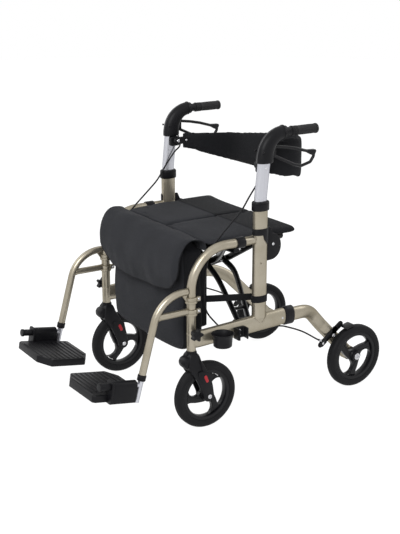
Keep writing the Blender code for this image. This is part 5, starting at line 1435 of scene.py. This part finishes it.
def makeLever(side):
    y, z = handles["lever"]
    corners = [
        (y + 0.004, z + 0.010), (y + 0.050, z + 0.0035), (y + 0.086, z - 0.004), (y + 0.127, z - 0.016),
        (y + 0.152, z - 0.020), (y + 0.150, z - 0.034), (y + 0.139, z - 0.049), (y + 0.107, z - 0.057),
        (y + 0.080, z - 0.050), (y + 0.004, z - 0.015),
    ]
    loop = tube([(frameX, *corner) for corner in corners], handles["leverRod"], bend=0.008, steps=8, sides=20)
    root = slab(roundCorners([
        (y + 0.001, z - 0.020), (y + 0.013, z - 0.020), (y + 0.013, z + 0.0145),
        (y - 0.006, z + 0.0145), (y - 0.006, z - 0.010),
    ], 0.003, 4), frameX - 0.0050, frameX + 0.0050, edge=0.0010, segments=3)
    tip = slab(roundCorners([
        (y + 0.1225, z - 0.0115), (y + 0.1535, z - 0.0128), (y + 0.1570, z - 0.0170),
        (y + 0.1530, z - 0.0262), (y + 0.1420, z - 0.0290), (y + 0.1300, z - 0.0225),
    ], 0.0035, 4), frameX - 0.0065, frameX + 0.0065, edge=0.0018, segments=4)
    pin = rod((frameX - 0.0085, y, z), (frameX + 0.0085, y, z), 0.003, 20)
    addSide(side, "lever_form", together(loop, root, tip, pin), "steel", "lever", "brake_lever")


def makeBackrestBracket(side):
    y, z = handles["backrest"]
    inner, outer = 0.229, frameX - (tubes["uprightHalf"][0] - 0.003) - 0.0003
    low, high = z - 0.018, z + 0.0112
    outline = roundCorners([
        (y - 0.017, low), (y + 0.015, low), (y + 0.015, high), (y - 0.017, high),
    ], 0.006, 5)
    block = slab(outline, inner, outer, edge=0.0018, segments=4)
    pin = rod((inner - 0.0065, y, z), (outer - 0.005, y, z), 0.0049, 28)
    addSide(side, "backrest_block", together(block, pin), "plastic", "handle", "backrest_bracket")
    arm = slab(
        linkOutline((y, z), (y + 0.040, z), 0.0112, 0.0100), band["half"] - 0.0062, band["half"] + 0.0062,
        edge=0.0016, segments=4,
    )
    made = [addPiece(f"{side}_backrest_arm", arm, "plastic", "backrest", (), signs[side])]
    heads = together(
        bolt((band["half"] - 0.0061, y, z), -xAxis, 0.0052, 0.0024),
        bolt((band["half"] - 0.0061, y + 0.030, z), -xAxis, 0.0034, 0.0016),
    )
    made.append(addPiece(f"{side}_arm_bolts", heads, "hardware", "backrest", (), signs[side]))
    if side == "right":
        for piece in made:     # these pieces get their own copies of their meshes
            squashBand(piece)


for side in signs:
    for make in (makePost, makeCowl, makeGrip, makeLever, makeBackrestBracket):
        make(side)
print("handles made")


# legrests

legrest = {
    "radius": 0.0105,
    "topZ": 0.42,
    "kneeY": -0.3001,
    "bend": 0.100,
    "lean": math.radians(15.6),
    "endZ": 0.2045,
    "barZ": 0.361,
    "barRadius": 0.0095,
    "rings": (0.394, 0.358),
    "tubeRadius": 0.008,
    "tubeTop": 0.328,
    "tubeFoot": 0.127,
    "footZ": 0.1845,
    "pitch": math.radians(9),
    "stub": 0.007,
    "plateDrop": 0.0245,
    "plateThick": 0.022,
    "plateInner": 0.059,
    "boxHalf": 0.015,
    "ribPitch": 0.0150,
}
legrest["footY"] = (
    legrest["kneeY"] - math.tan(legrest["lean"]) * (legrest["topZ"] - legrest["footZ"]) - 0.054147
)


def legLine(z):
    knee = Vector((frameX, legrest["kneeY"], legrest["topZ"]))
    return knee + Vector((0, -math.tan(legrest["lean"]), -1)) * (legrest["topZ"] - z)


def footSpace():
    c, s = math.cos(legrest["pitch"]), math.sin(legrest["pitch"])
    return Matrix(((1, 0, 0, 0), (0, -c, s, legrest["footY"]), (0, s, c, legrest["footZ"]), (0, 0, 0, 1)))


def footPoint(x, forward, up=0.0):
    return footSpace() @ Vector((x, forward, up))


def makeHanger(side):
    startY = postY - tubes["loopRadius"] - 0.0015
    corners = [(frameX, startY, legrest["topZ"]), legLine(legrest["topZ"]), legLine(legrest["endZ"])]
    parts = [tube(corners, legrest["radius"], bend=legrest["bend"], steps=24, sides=36)]
    barEnd = legLine(legrest["barZ"])
    parts.append(rod((frameX, startY, legrest["barZ"]), barEnd, legrest["barRadius"], 32))
    foot = barEnd + Vector((0, legrest["radius"] + 0.0005, 0))
    parts.append(weldRing(foot, yAxis, legrest["barRadius"], 0.0016))
    inner, outer = 0.0137, 0.0172
    heads = []
    for z in legrest["rings"]:
        low, high = z - 0.009, z + 0.009
        parts.append(spun([
            (low, inner), (low, outer - 0.0008), (low + 0.0008, outer), (z - 0.0022, outer),
            (z - 0.0014, outer - 0.0012), (z + 0.0014, outer - 0.0012), (z + 0.0022, outer),
            (high - 0.0008, outer), (high, outer - 0.0008), (high, inner),
        ], (frameX, postY, 0), zAxis, 56))
        ear = roundCorners([
            (postY + inner, z - 0.007), (postY + 0.029, z - 0.007), (postY + 0.029, z + 0.007),
            (postY + inner, z + 0.007),
        ], 0.003, 4)
        parts.append(slab(ear, frameX - 0.0045, frameX + 0.0045, edge=0.0010, segments=2))
        for face in (1, -1):
            heads.append(bolt((frameX + face * 0.0044, postY + 0.0228, z), (face, 0, 0), 0.0040, 0.0026))
    top = legrest["topZ"]
    gusset = [(startY, top), (startY - 0.022, top), (startY, legrest["rings"][0] - 0.006)]
    parts.append(slab(gusset, frameX - 0.004, frameX + 0.004, edge=0.0008, segments=2))
    addSide(side, "hanger_frame", together(*parts), "champagne", "legrest_hanger", "hanger")
    addSide(side, "hanger_bolts", together(*heads), "hardware", "legrest_hanger")
    heading = (legLine(0) - legLine(1)).normalized()
    start, length = legLine(legrest["endZ"]) + heading * 0.0003, 0.0172
    outer = legrest["radius"] + 0.002
    stations = [
        (start + heading * place, heading, outer - less, outer - less)
        for place, less in (
            (0, 0.0012), (0.0006, 0.0003), (0.0016, 0.0), (length * 0.62, 0.0), (length * 0.65, 0.0007),
            (length * 0.70, 0.0007), (length * 0.73, 0.0), (length - 0.0022, 0.0), (length - 0.0007, 0.0006),
            (length, 0.0020),
        )
    ]
    addSide(side, "hanger_sleeve", loft(stations, 44), "plastic", "legrest_hanger", "hanger_collar")


def makeLegrestTube(side):
    c, s = math.cos(legrest["pitch"]), math.sin(legrest["pitch"])
    lean = math.tan(legrest["lean"])
    forward = (legLine(legrest["footZ"]).y - legrest["footY"]) / (-c + lean * s)
    shape = together(
        rod(legLine(legrest["tubeTop"]), legLine(legrest["tubeFoot"]), legrest["tubeRadius"], 36, 0.0012),
        rod(footPoint(frameX, forward), footPoint(frameX, 0.0585), legrest["stub"], 32),
    )
    addSide(side, "legrest_form", shape, "silver", "legrest", "legrest_tube")
    start, end = footPoint(frameX, 0.0445), footPoint(frameX, 0.078)
    heading = end - start
    stations = [
        (start + heading * place, heading, size, size) for place, size in (
            (0, 0.0092), (0.02, 0.0100), (0.70, 0.0100), (0.74, 0.0092), (0.78, 0.0092), (0.80, 0.0112),
            (0.83, 0.0116), (0.96, 0.0116), (0.99, 0.0110), (1.0, 0.0096),
        )
    ]
    addSide(side, "stub_cap", loft(stations, 40), "plastic", "legrest", "legrest_plug")


def makeFootplate(side):
    space = footSpace()
    low, high = -legrest["plateDrop"] - legrest["plateThick"], -legrest["plateDrop"]
    inner, outer = legrest["plateInner"], frameX - 0.004
    outline = [
        (inner, -0.047), (inner + 0.044, -0.071), (outer - 0.024, -0.071), (outer - 0.018, -0.064),
        (outer - 0.014, -0.034), (outer, -0.034), (outer, 0.080), (outer - 0.007, 0.088),
        (inner + 0.050, 0.090), (inner, 0.063),
    ]
    tray = slab(roundCorners(outline, 0.006, 4), low, high, space, 0.0030, 4, 60)
    ribEnd = outer - 0.028
    wall = 0.003
    hollow = [
        (inner + wall, -0.044), (inner + 0.046, -0.071 + wall), (ribEnd, -0.071 + wall),
        (ribEnd, 0.090 - wall), (inner + 0.051, 0.090 - wall), (inner + wall, 0.061),
    ]
    tray = carve(tray, slab(hollow, low - 0.01, high - wall - 0.001, space))
    ribs = []
    u = -0.060
    while u < 0.080:
        near = inner + 0.008 + max(0.0, -0.047 - u) * 1.83 + max(0.0, u + 0.005 - 0.063) * 1.85
        past = u + legrest["ribPitch"] * 0.48
        rib = roundCorners([(near, u), (ribEnd, u), (ribEnd, past), (near, past)], 0.002, 3)
        ribs.append(slab(rib, high - 0.001, high + 0.0016, space, 0.0006, 2, 60))
        u += legrest["ribPitch"]
    half = legrest["boxHalf"]
    arch = [(frameX - half, low), (frameX + half, low)]
    for step in range(25):
        angle = math.pi * step / 24
        arch.append((frameX + half * math.cos(angle), half * math.sin(angle)))
    turn = space @ endOn
    box = slab(arch, -0.0365, 0.0415, turn, 0.0012, 3, 60)
    lip = roundCorners([
        (frameX - 0.0178, low - 0.0015), (frameX + 0.0178, low - 0.0015),
        (frameX + 0.0178, 0.0172), (frameX - 0.0178, 0.0172),
    ], 0.008, 6)
    parts = [tray, box, slab(lip, 0.0385, 0.0440, turn, 0.0010, 3, 60)] + ribs
    addSide(side, "foot_tray", together(*parts), "plastic", "foot", "footplate")


for side in signs:
    for make in (makeHanger, makeLegrestTube, makeFootplate):
        make(side)
print("legrests made")


# cross braces

braces = {
    "crossZ": 0.405,
    "frontY": 0.020,
    "backY": 0.083,
    "halfThick": 0.006,
    "halfHigh": 0.010,
    "gap": 0.0006,
    "hub": 0.0105,
    "hubFront": -0.0295,
    "hubBack": 0.0275,
}


def braceRoute(frontY, lowerY, upperY, bulge):
    crossZ, railX = braces["crossZ"], seatRail["x"]
    slope = (crossZ - pivotZ) / pivotX
    rise = (seatRail["z"] - crossZ) / railX
    level = 0.052
    return [
        (pivotX, lowerY, pivotZ),
        (0.150, lowerY + (frontY - lowerY) * 0.5, pivotZ + (pivotX - 0.150) * slope + bulge * 0.3),
        (level + 0.012, frontY, crossZ - (level + 0.012) * slope + bulge),
        (0, frontY, crossZ + bulge * 0.2),
        (-level, frontY, crossZ + level * rise),
        (-railX, upperY, seatRail["z"]),
    ]


def makeBrace(name, node, body, sign):
    outward = braces["halfThick"] + braces["gap"]
    front, back = braces["frontY"] - outward * sign, braces["backY"] - outward * sign
    hubEnds = [(pivotX, place, pivotZ) for place in (braces["hubFront"], braces["hubBack"])]
    parts = [rod(*hubEnds, braces["hub"], 40, 0.001)]
    for bar in (braceRoute(front, -0.019, -0.044, 0.0), braceRoute(back, 0.017, 0.095, 0.010)):
        points = smoothPath(bar, 10)
        parts.append(along(points, braces["halfThick"], braces["halfHigh"], 28, yAxis, 0.7))
    x, z, radius = -seatRail["x"], seatRail["z"], seatRail["radius"]
    parts.append(rod((x, seatRail["front"] + 0.004, z), (x, seatRail["back"] - 0.004, z), radius, 40))
    for start, end in (
        (seatRail["front"], seatRail["front"] + 0.008), (seatRail["back"] - 0.008, seatRail["back"]),
    ):
        parts.append(rod((x, start, z), (x, end, z), radius + 0.0002, 40, 0.002))
    rungX = 0.180
    rungZ = pivotZ + (pivotX - rungX) * (braces["crossZ"] - pivotZ) / pivotX
    parts.append(rod((rungX, -0.012, rungZ), (rungX, 0.029, rungZ), 0.005, 24))
    addPiece(name, together(*parts), "gloss", body, [node], sign)
    if sign > 0:
        reach = 3 * braces["halfThick"] + 2 * braces["gap"] + 0.001
        heads = []
        for y in (front, back):
            start, end = y - braces["halfThick"] - 0.0002, y + reach - 0.0008
            heads.append(rod((0, start, braces["crossZ"]), (0, end, braces["crossZ"]), 0.0044, 24))
            heads.append(bolt((0, start + 0.0002, braces["crossZ"]), (0, -1, 0), 0.0068, 0.0030))
            heads.append(bolt((0, end - 0.0002, braces["crossZ"]), (0, 1, 0), 0.0066, 0.0014))
        addPiece("cross_bolts", together(*heads), "hardware", body, (), sign)


makeBrace("brace_left_form", "brace_from_left", "brace_a", 1)
makeBrace("brace_right_form", "brace_from_right", "brace_b", -1)
print("cross braces made")


# holder for a walking stick

holder = {
    "x": 0.302,
    "y": -0.125,
    "bottom": 0.255,
    "top": 0.295,
    "radius": 0.028,
    "rim": 0.033,
    "wall": 0.003,
}


def makeHolder():
    height = holder["top"] - holder["bottom"]
    radius, rim = holder["radius"], holder["rim"]
    inner = radius - holder["wall"]
    cup = spun([
        (0, 0), (0, radius - 0.006), (0.0008, radius - 0.0035), (0.003, radius - 0.0014),
        (height - 0.013, radius), (height - 0.008, radius + 0.0018), (height - 0.003, rim - 0.0006),
        (height - 0.0008, rim),
        (height - 0.0002, rim - 0.0008), (height - 0.0004, rim - 0.0030), (height - 0.004, rim - 0.0042),
        (height - 0.012, inner), (0.006, inner - 0.001), (0.005, inner - 0.002), (0.005, 0),
    ], (holder["x"], holder["y"], holder["bottom"]), zAxis, 72)
    face = frameX + tubes["railHalf"][0] + 0.0003
    low, high = holder["bottom"] + 0.012, holder["top"] - 0.007
    y = holder["y"]
    arm = slab(roundCorners([
        (y - 0.014, low), (y + 0.014, low), (y + 0.014, high), (y - 0.014, high),
    ], 0.004, 4), face, holder["x"] - radius + holder["wall"] / 2, edge=0.0012, segments=3)
    addPiece("stick_cup", together(cup, arm), "plastic", "left_frame", ["cane_cup"])
    clipY, reach, halfY = -0.048, 0.022, 0.018
    back, tip = face + 0.006, face + 0.006 + reach
    inside = halfY - 0.005
    outline = roundCorners([
        (face, clipY - halfY), (tip - 0.004, clipY - halfY), (tip, clipY - halfY + 0.003),
        (tip - 0.001, clipY - halfY + 0.0075), (tip - 0.006, clipY - inside), (back, clipY - inside),
        (back, clipY + inside), (tip - 0.006, clipY + inside), (tip - 0.001, clipY + halfY - 0.0075),
        (tip, clipY + halfY - 0.003), (tip - 0.004, clipY + halfY), (face, clipY + halfY),
    ], 0.0022, 4)
    clip = slab(outline, 0.257, 0.290, inPlan, 0.0012, 3, 60)
    addPiece("stick_clip", clip, "plastic", "left_frame", ["cane_clip"])
    screws = [bolt((back, clipY, z), xAxis, 0.0038, 0.0018) for z in (0.2800, 0.2670)]
    addPiece("clip_screws", together(*screws), "hardware", "left_frame")


makeHolder()
print("stick holder made")


# bag

bag = {
    "half": 0.204,
    "back": -0.118,
    "front": -0.207,
    "bottom": 0.223,
    "top": 0.522,
    "head": (       # how far each section over the top rises, leans forward and draws in
        (0.008, 0.004, 0.006), (0.016, 0.008, 0.010), (0.022, 0.010, 0.014), (0.026, 0.011, 0.021),
    ),
}


def waves(x, y, seed, height):
    return noise.noise(Vector((x, y, seed))) * height


def makeBagBody():
    middle, halfY = (bag["back"] + bag["front"]) / 2, (bag["back"] - bag["front"]) / 2
    stations = []
    count = 36
    for step in range(count + 1):
        v = step / count
        z = bag["bottom"] + v * (bag["top"] - bag["bottom"])
        foot = max(0.0, 1 - v / 0.05) ** 2
        head = max(0.0, (v - 0.965) / 0.035) ** 2
        sag = 0.004 * math.sin(math.pi * min(v / 0.6, 1)) - 0.002
        stations.append((
            (0, middle, z), zAxis, bag["half"] - 0.003 - 0.010 * foot - 0.009 * head + sag * 0.5,
            halfY - 0.006 * foot - 0.008 * head + sag,
        ))
    for rise, forward, less in bag["head"]:
        stations.append((
            (0, middle - forward - 0.004, bag["top"] + rise), zAxis, bag["half"] - 0.012 - less * 0.4,
            halfY - 0.008 - less,
        ))
    shape = loft(stations, sides=160, power=0.32)
    for point in shape.verts:
        x, y, z = point.co
        v = (z - bag["bottom"]) / (bag["top"] - bag["bottom"])
        loose = math.sin(math.pi * min(max(v, 0), 1))
        front = 1 if y < middle else -0.6
        fold = waves(x * 9, z * 5, 3.1, 0.0055) + waves(x * 26, z * 11, 7.7, 0.0016)
        droop = 0.006 * (1 - (x / bag["half"]) ** 2) * (1 - v) ** 3
        point.co.y -= fold * loose * front
        point.co.x += noise.noise(Vector((y * 20, z * 8, 1.3))) * 0.003 * loose
        point.co.z -= droop * (1 if v < 0.2 else 0)
    piece = addPiece("bag_body", shape, "nylon", "left_frame", ["bag"], 1, 0)
    piece.data.materials.append(finishes["darkNylonAndPaintedShade"])
    # faces that do not look forward take the darker cloth: painted shade on the bag's sides, top and back
    for face in piece.data.polygons:
        if face.normal.y > -0.5:
            face.material_index = 1
    return piece


flap = {
    "half": 0.2295,
    "corners": ((-1, 0.096, 0.090), (1, 0.066, 0.060)),     # side, width and height of each lower corner
    "hem": 0.391,
    "thick": 0.0022,
    "profile": (        # y and z from the seat's front edge over the top and down the front
        (-0.1385, 0.5225), (-0.1400, 0.5350), (-0.1440, 0.5460), (-0.1530, 0.5525), (-0.1700, 0.5555),
        (-0.1900, 0.5545), (-0.2060, 0.5455), (-0.2190, 0.5290), (-0.2300, 0.5100), (-0.2362, 0.4930),
        (-0.2385, 0.4740), (-0.2380, 0.4520), (-0.2345, 0.4300), (-0.2295, 0.4080), (-0.2250, 0.3870),
    ),
}


def flapHem(x):
    # how far the hem ends above the end of the profile
    rise = 0.35 * x ** 2 + 0.06 * max(x, 0.0) + flap["hem"] - flap["profile"][-1][1]
    for side, width, height in flap["corners"]:
        inside = (x * side - (flap["half"] - width)) / width
        if inside > 0:
            rise += height * (1 - math.sqrt(max(0.0, 1 - min(inside, 1.0) ** 2)))
    return rise


def makeFlap():
    shape = bmesh.new()
    bmesh.ops.create_grid(shape, x_segments=110, y_segments=80, size=1.0)
    dense = smoothPath([Vector((0, y, z)) for y, z in flap["profile"]], 12)
    lengths = [0.0]
    for first, second in zip(dense, dense[1:]):
        lengths.append(lengths[-1] + (second - first).length)
    for point in shape.verts:
        u, v = point.co.x, (1 - point.co.y) / 2
        x = u * flap["half"] - max(-u, 0.0) * 0.006
        wanted = v * (lengths[-1] - flapHem(x))
        index = max(1, next((i for i, length in enumerate(lengths) if length >= wanted), len(lengths) - 1))
        share = (wanted - lengths[index - 1]) / (lengths[index] - lengths[index - 1])
        place = dense[index - 1].lerp(dense[index], share)
        y, z = place.y, place.z
        down = min(max((0.535 - z) / 0.10, 0.0), 1.0) if y < -0.19 else 0.0
        edge = max(0.0, abs(u) - 0.90) / 0.10
        y += 0.020 * edge ** 1.6 * (0.25 + 0.75 * down)
        x -= math.copysign(0.005 * edge ** 2 * down, x)
        fold = waves(x * 10, z * 5, 0.7, 0.0055) + waves(x * 27, z * 12, 5.2, 0.0020)
        fold += 0.0028 * math.sin(x * 34 + 0.4 + z * 9) * down ** 1.5
        y -= (fold * (0.25 + 0.75 * down))
        z += (noise.noise(Vector((x * 12, y * 20, 9.1))) * 0.0035) * (1 - down)
        z += 0.0015 * math.sin(x * 24 + 1.0) * v ** 3
        point.co = (x, y, z)
    bmesh.ops.recalc_face_normals(shape, faces=shape.faces)
    area = sum(face.calc_area() for face in shape.faces)
    hem = [point.co.copy() for point in shape.verts if point.is_boundary]
    piece = addPiece("bag_flap", shape, "nylon", "left_frame", [], 1, 0)
    wall = piece.modifiers.new("wall", "SOLIDIFY")
    wall.thickness = flap["thick"]
    wall.offset = 0
    settle(piece)
    piece.data.shade_smooth()
    round(area / (2 * flap["half"]) + 0.004, 4)
    return piece, hem


def makeFlapPiping(hem):
    # bound edge of the flap, down its sides and along its hem
    low = [point for point in hem if point.z < 0.53 and point.y < -0.16]
    low.sort(key=lambda point: math.atan2(point.x, -(point.z - 0.56)))
    path = [low[index] for index in range(0, len(low), 2)]
    return addPiece("flap_piping", along(path, 0.0017, sides=10), "darkNylonAndPaintedShade", "left_frame", [], 1, 0)


straps = {"z": 0.358, "half": 0.010, "thick": 0.002, "rise": 0.007}


def makeStraps():
    # webbing from the bag's rear corners round each upright
    z, half, rise = straps["z"], straps["half"], straps["rise"]
    halfX, halfY = tubes["uprightHalf"]
    for side in signs:
        near = frameX - halfX - straps["thick"]
        outline = [
            (0.186, -0.134), (near - 0.004, uprightY - 0.012), (near, uprightY + 0.004),
            (near + 0.0028, uprightY + 0.004), (near - 0.001, uprightY - 0.014), (0.1885, -0.136),
        ]
        web = slab(outline, z - half, z + half, inPlan, 0.0006, 2, 50)
        for point in web.verts:
            point.co.z += rise * min(max((uprightY - point.co.y) / 0.17, 0.0), 1.0)
        grow = straps["thick"] + 0.0003
        ringForm = capped(
            ((z - half, 0.0008), (z - half + 0.001, 0.0), (z + half - 0.001, 0.0), (z + half, 0.0008)),
            halfX + grow, halfY + grow, (frameX, uprightY, 0), (0, 0, 1),
        )
        addSide(side, "strap_ring", ringForm, "darkNylonAndPaintedShade", "frame")
        addSide(side, "bag_strap", web, "darkNylonAndPaintedShade", "frame")


bagEdge = {"x": 0.1865, "front": -0.150, "back": -0.106, "z": (0.275, 0.478)}


def makeBagEdges():
    # the hanging panel's edge behind each side of the bag
    low, high = bagEdge["z"]
    front, back = bagEdge["front"], bagEdge["back"]
    made = []
    for side in signs:
        outline = roundCorners([(front, low), (back, low + 0.006), (back, high), (front, high)], 0.004, 4)
        shape = slab(outline, bagEdge["x"], bagEdge["x"] + 0.0028, sideOn, 0.0009, 2)
        made.append(addPiece(f"{side}_bag_edge", shape, "darkNylonAndPaintedShade", "left_frame", (), signs[side]))
    return made


flapPiece, hem = makeFlap()
bagPieces = [makeBagBody(), flapPiece, makeFlapPiping(hem)] + makeBagEdges()
makeStraps()
for piece in bagPieces:
    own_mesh(piece)
print("bag made")


# brake cables

cables = {
    "radius": 0.0025,
    "points": (
        (0.2465, 0.0670, 0.7550), (0.2465, 0.0671, 0.750), (0.2420, 0.0705, 0.738),
        (0.2370, 0.0660, 0.7215), (0.2352, 0.0480, 0.7080), (0.2350, 0.0300, 0.6880),
        (0.2350, 0.0065, 0.6580), (0.2350, -0.0197, 0.6220), (0.2355, -0.0605, 0.5850),
        (0.2368, -0.0973, 0.5525), (0.2370, -0.1120, 0.5370), (0.2362, -0.1250, 0.5150),
        (0.2335, -0.1350, 0.4800), (0.2290, -0.1390, 0.4300), (0.2265, -0.1390, 0.3800),
        (0.2255, -0.1305, 0.3394), (0.2260, -0.1060, 0.3050), (0.2285, -0.0750, 0.2750),
        (0.2300, -0.0350, 0.2620), (0.2300, 0.0200, 0.2570), (0.2285, 0.0900, 0.2500),
        (0.2260, 0.1330, 0.2430), (0.2250, 0.1630, 0.2330), (0.2255, 0.2185, 0.2080),
        (0.2320, 0.2697, 0.17525), (0.2320, 0.27824, 0.17064),
    ),
}


def evenly(points, pitch):
    dense = smoothPath(points, 12)
    lengths = [0.0]
    for first, second in zip(dense, dense[1:]):
        lengths.append(lengths[-1] + (second - first).length)
    count = round(lengths[-1] / pitch)
    found, index = [], 0
    for step in range(count + 1):
        wanted = lengths[-1] * step / count
        while index < len(dense) - 2 and lengths[index + 1] < wanted:
            index += 1
        share = (wanted - lengths[index]) / (lengths[index + 1] - lengths[index])
        found.append(dense[index].lerp(dense[index + 1], share))
    return found, lengths[-1]


for side in signs:
    points, length = evenly(cables["points"], 0.006)
    cable = addPiece(
        f"{side}_cable", along(points, cables["radius"], sides=14), "sheath", None,
        [f"{side}_brake_cable"], signs[side], 0,
    )
    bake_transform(cable)
print("cables made")


# floor, lights and surroundings

studio = {
    "floorShare": 0.72,     # share of the floor that shows as plain white; the rest takes the shadow
    "floorWhite": 1.27,
    "floorSize": 9,
    "world": 0.38,
    "lamps": (      # name, place, size and power
        ("key", (2.2, -2.4, 2.9), 2.0, 105),
        ("fill", (-2.4, -1.8, 2.2), 2.4, 30),
        ("back", (0.6, 2.8, 2.6), 2.2, 30),
    ),
    "aim": (0, 0, 0.4),
}


def showAsWhite(tree, shader, emitter, share=1.0, strength=1.0):
    # white to the camera, in gloss and through glass; plain to every other ray
    path = tree.nodes.new("ShaderNodeLightPath")
    seen = path.outputs["Is Camera Ray"]
    for other in ("Is Glossy Ray", "Is Transmission Ray"):
        both = tree.nodes.new("ShaderNodeMath")
        both.operation = "MAXIMUM"
        tree.links.new(seen, both.inputs[0])
        tree.links.new(path.outputs[other], both.inputs[1])
        seen = both.outputs[0]
    if share < 1:
        less = tree.nodes.new("ShaderNodeMath")
        less.operation = "MULTIPLY"
        less.inputs[1].default_value = share
        tree.links.new(seen, less.inputs[0])
        seen = less.outputs[0]
    white = tree.nodes.new(emitter)
    white.inputs["Color"].default_value = (1, 1, 1, 1)
    white.inputs["Strength"].default_value = strength
    mix = tree.nodes.new("ShaderNodeMixShader")
    tree.links.new(seen, mix.inputs[0])
    tree.links.new(shader, mix.inputs[1])
    tree.links.new(white.outputs[0], mix.inputs[2])
    return mix.outputs[0]


def makeStudio():
    world = bpy.data.worlds.new("studio")
    bpy.context.scene.world = world
    world.use_nodes = True
    tree = world.node_tree
    sky = tree.nodes["Background"]
    sky.inputs["Color"].default_value = (1, 1, 1, 1)
    sky.inputs["Strength"].default_value = studio["world"]
    seen = showAsWhite(tree, sky.outputs[0], "ShaderNodeBackground")
    tree.links.new(seen, tree.nodes["World Output"].inputs["Surface"])

    shape = bmesh.new()
    bmesh.ops.create_circle(shape, segments=64, radius=studio["floorSize"], cap_ends=True)
    mesh = bpy.data.meshes.new("floor")
    shape.to_mesh(mesh)
    shape.free()
    finish = Finish("paleFloor")
    cloud = finish.grain(finish.place(), 3, 2)
    shade = finish.blend(cloud, (0.92, 0.92, 0.92), (0.94, 0.94, 0.94))
    mesh.materials.append(finish.surface(Base_Color=shade, Roughness=0.9, Specular_IOR_Level=0.1))
    seen = showAsWhite(
        finish.tree, finish.shader.outputs[0], "ShaderNodeEmission",
        studio["floorShare"], studio["floorWhite"],
    )
    finish.tree.links.new(seen, finish.tree.nodes["Material Output"].inputs["Surface"])
    floor = bpy.data.objects.new("floor", mesh)
    floor.location.z = -0.0005
    bpy.context.scene.collection.objects.link(floor)

    for name, at, size, power in studio["lamps"]:
        lamp = bpy.data.lights.new(name, "AREA")
        lamp.size = size
        lamp.energy = power
        stand = bpy.data.objects.new(name, lamp)
        stand.location = at
        stand.rotation_mode = "QUATERNION"
        stand.rotation_quaternion = (Vector(at) - Vector(studio["aim"])).to_track_quat("Z", "Y")
        bpy.context.scene.collection.objects.link(stand)


makeStudio()
print("studio set")
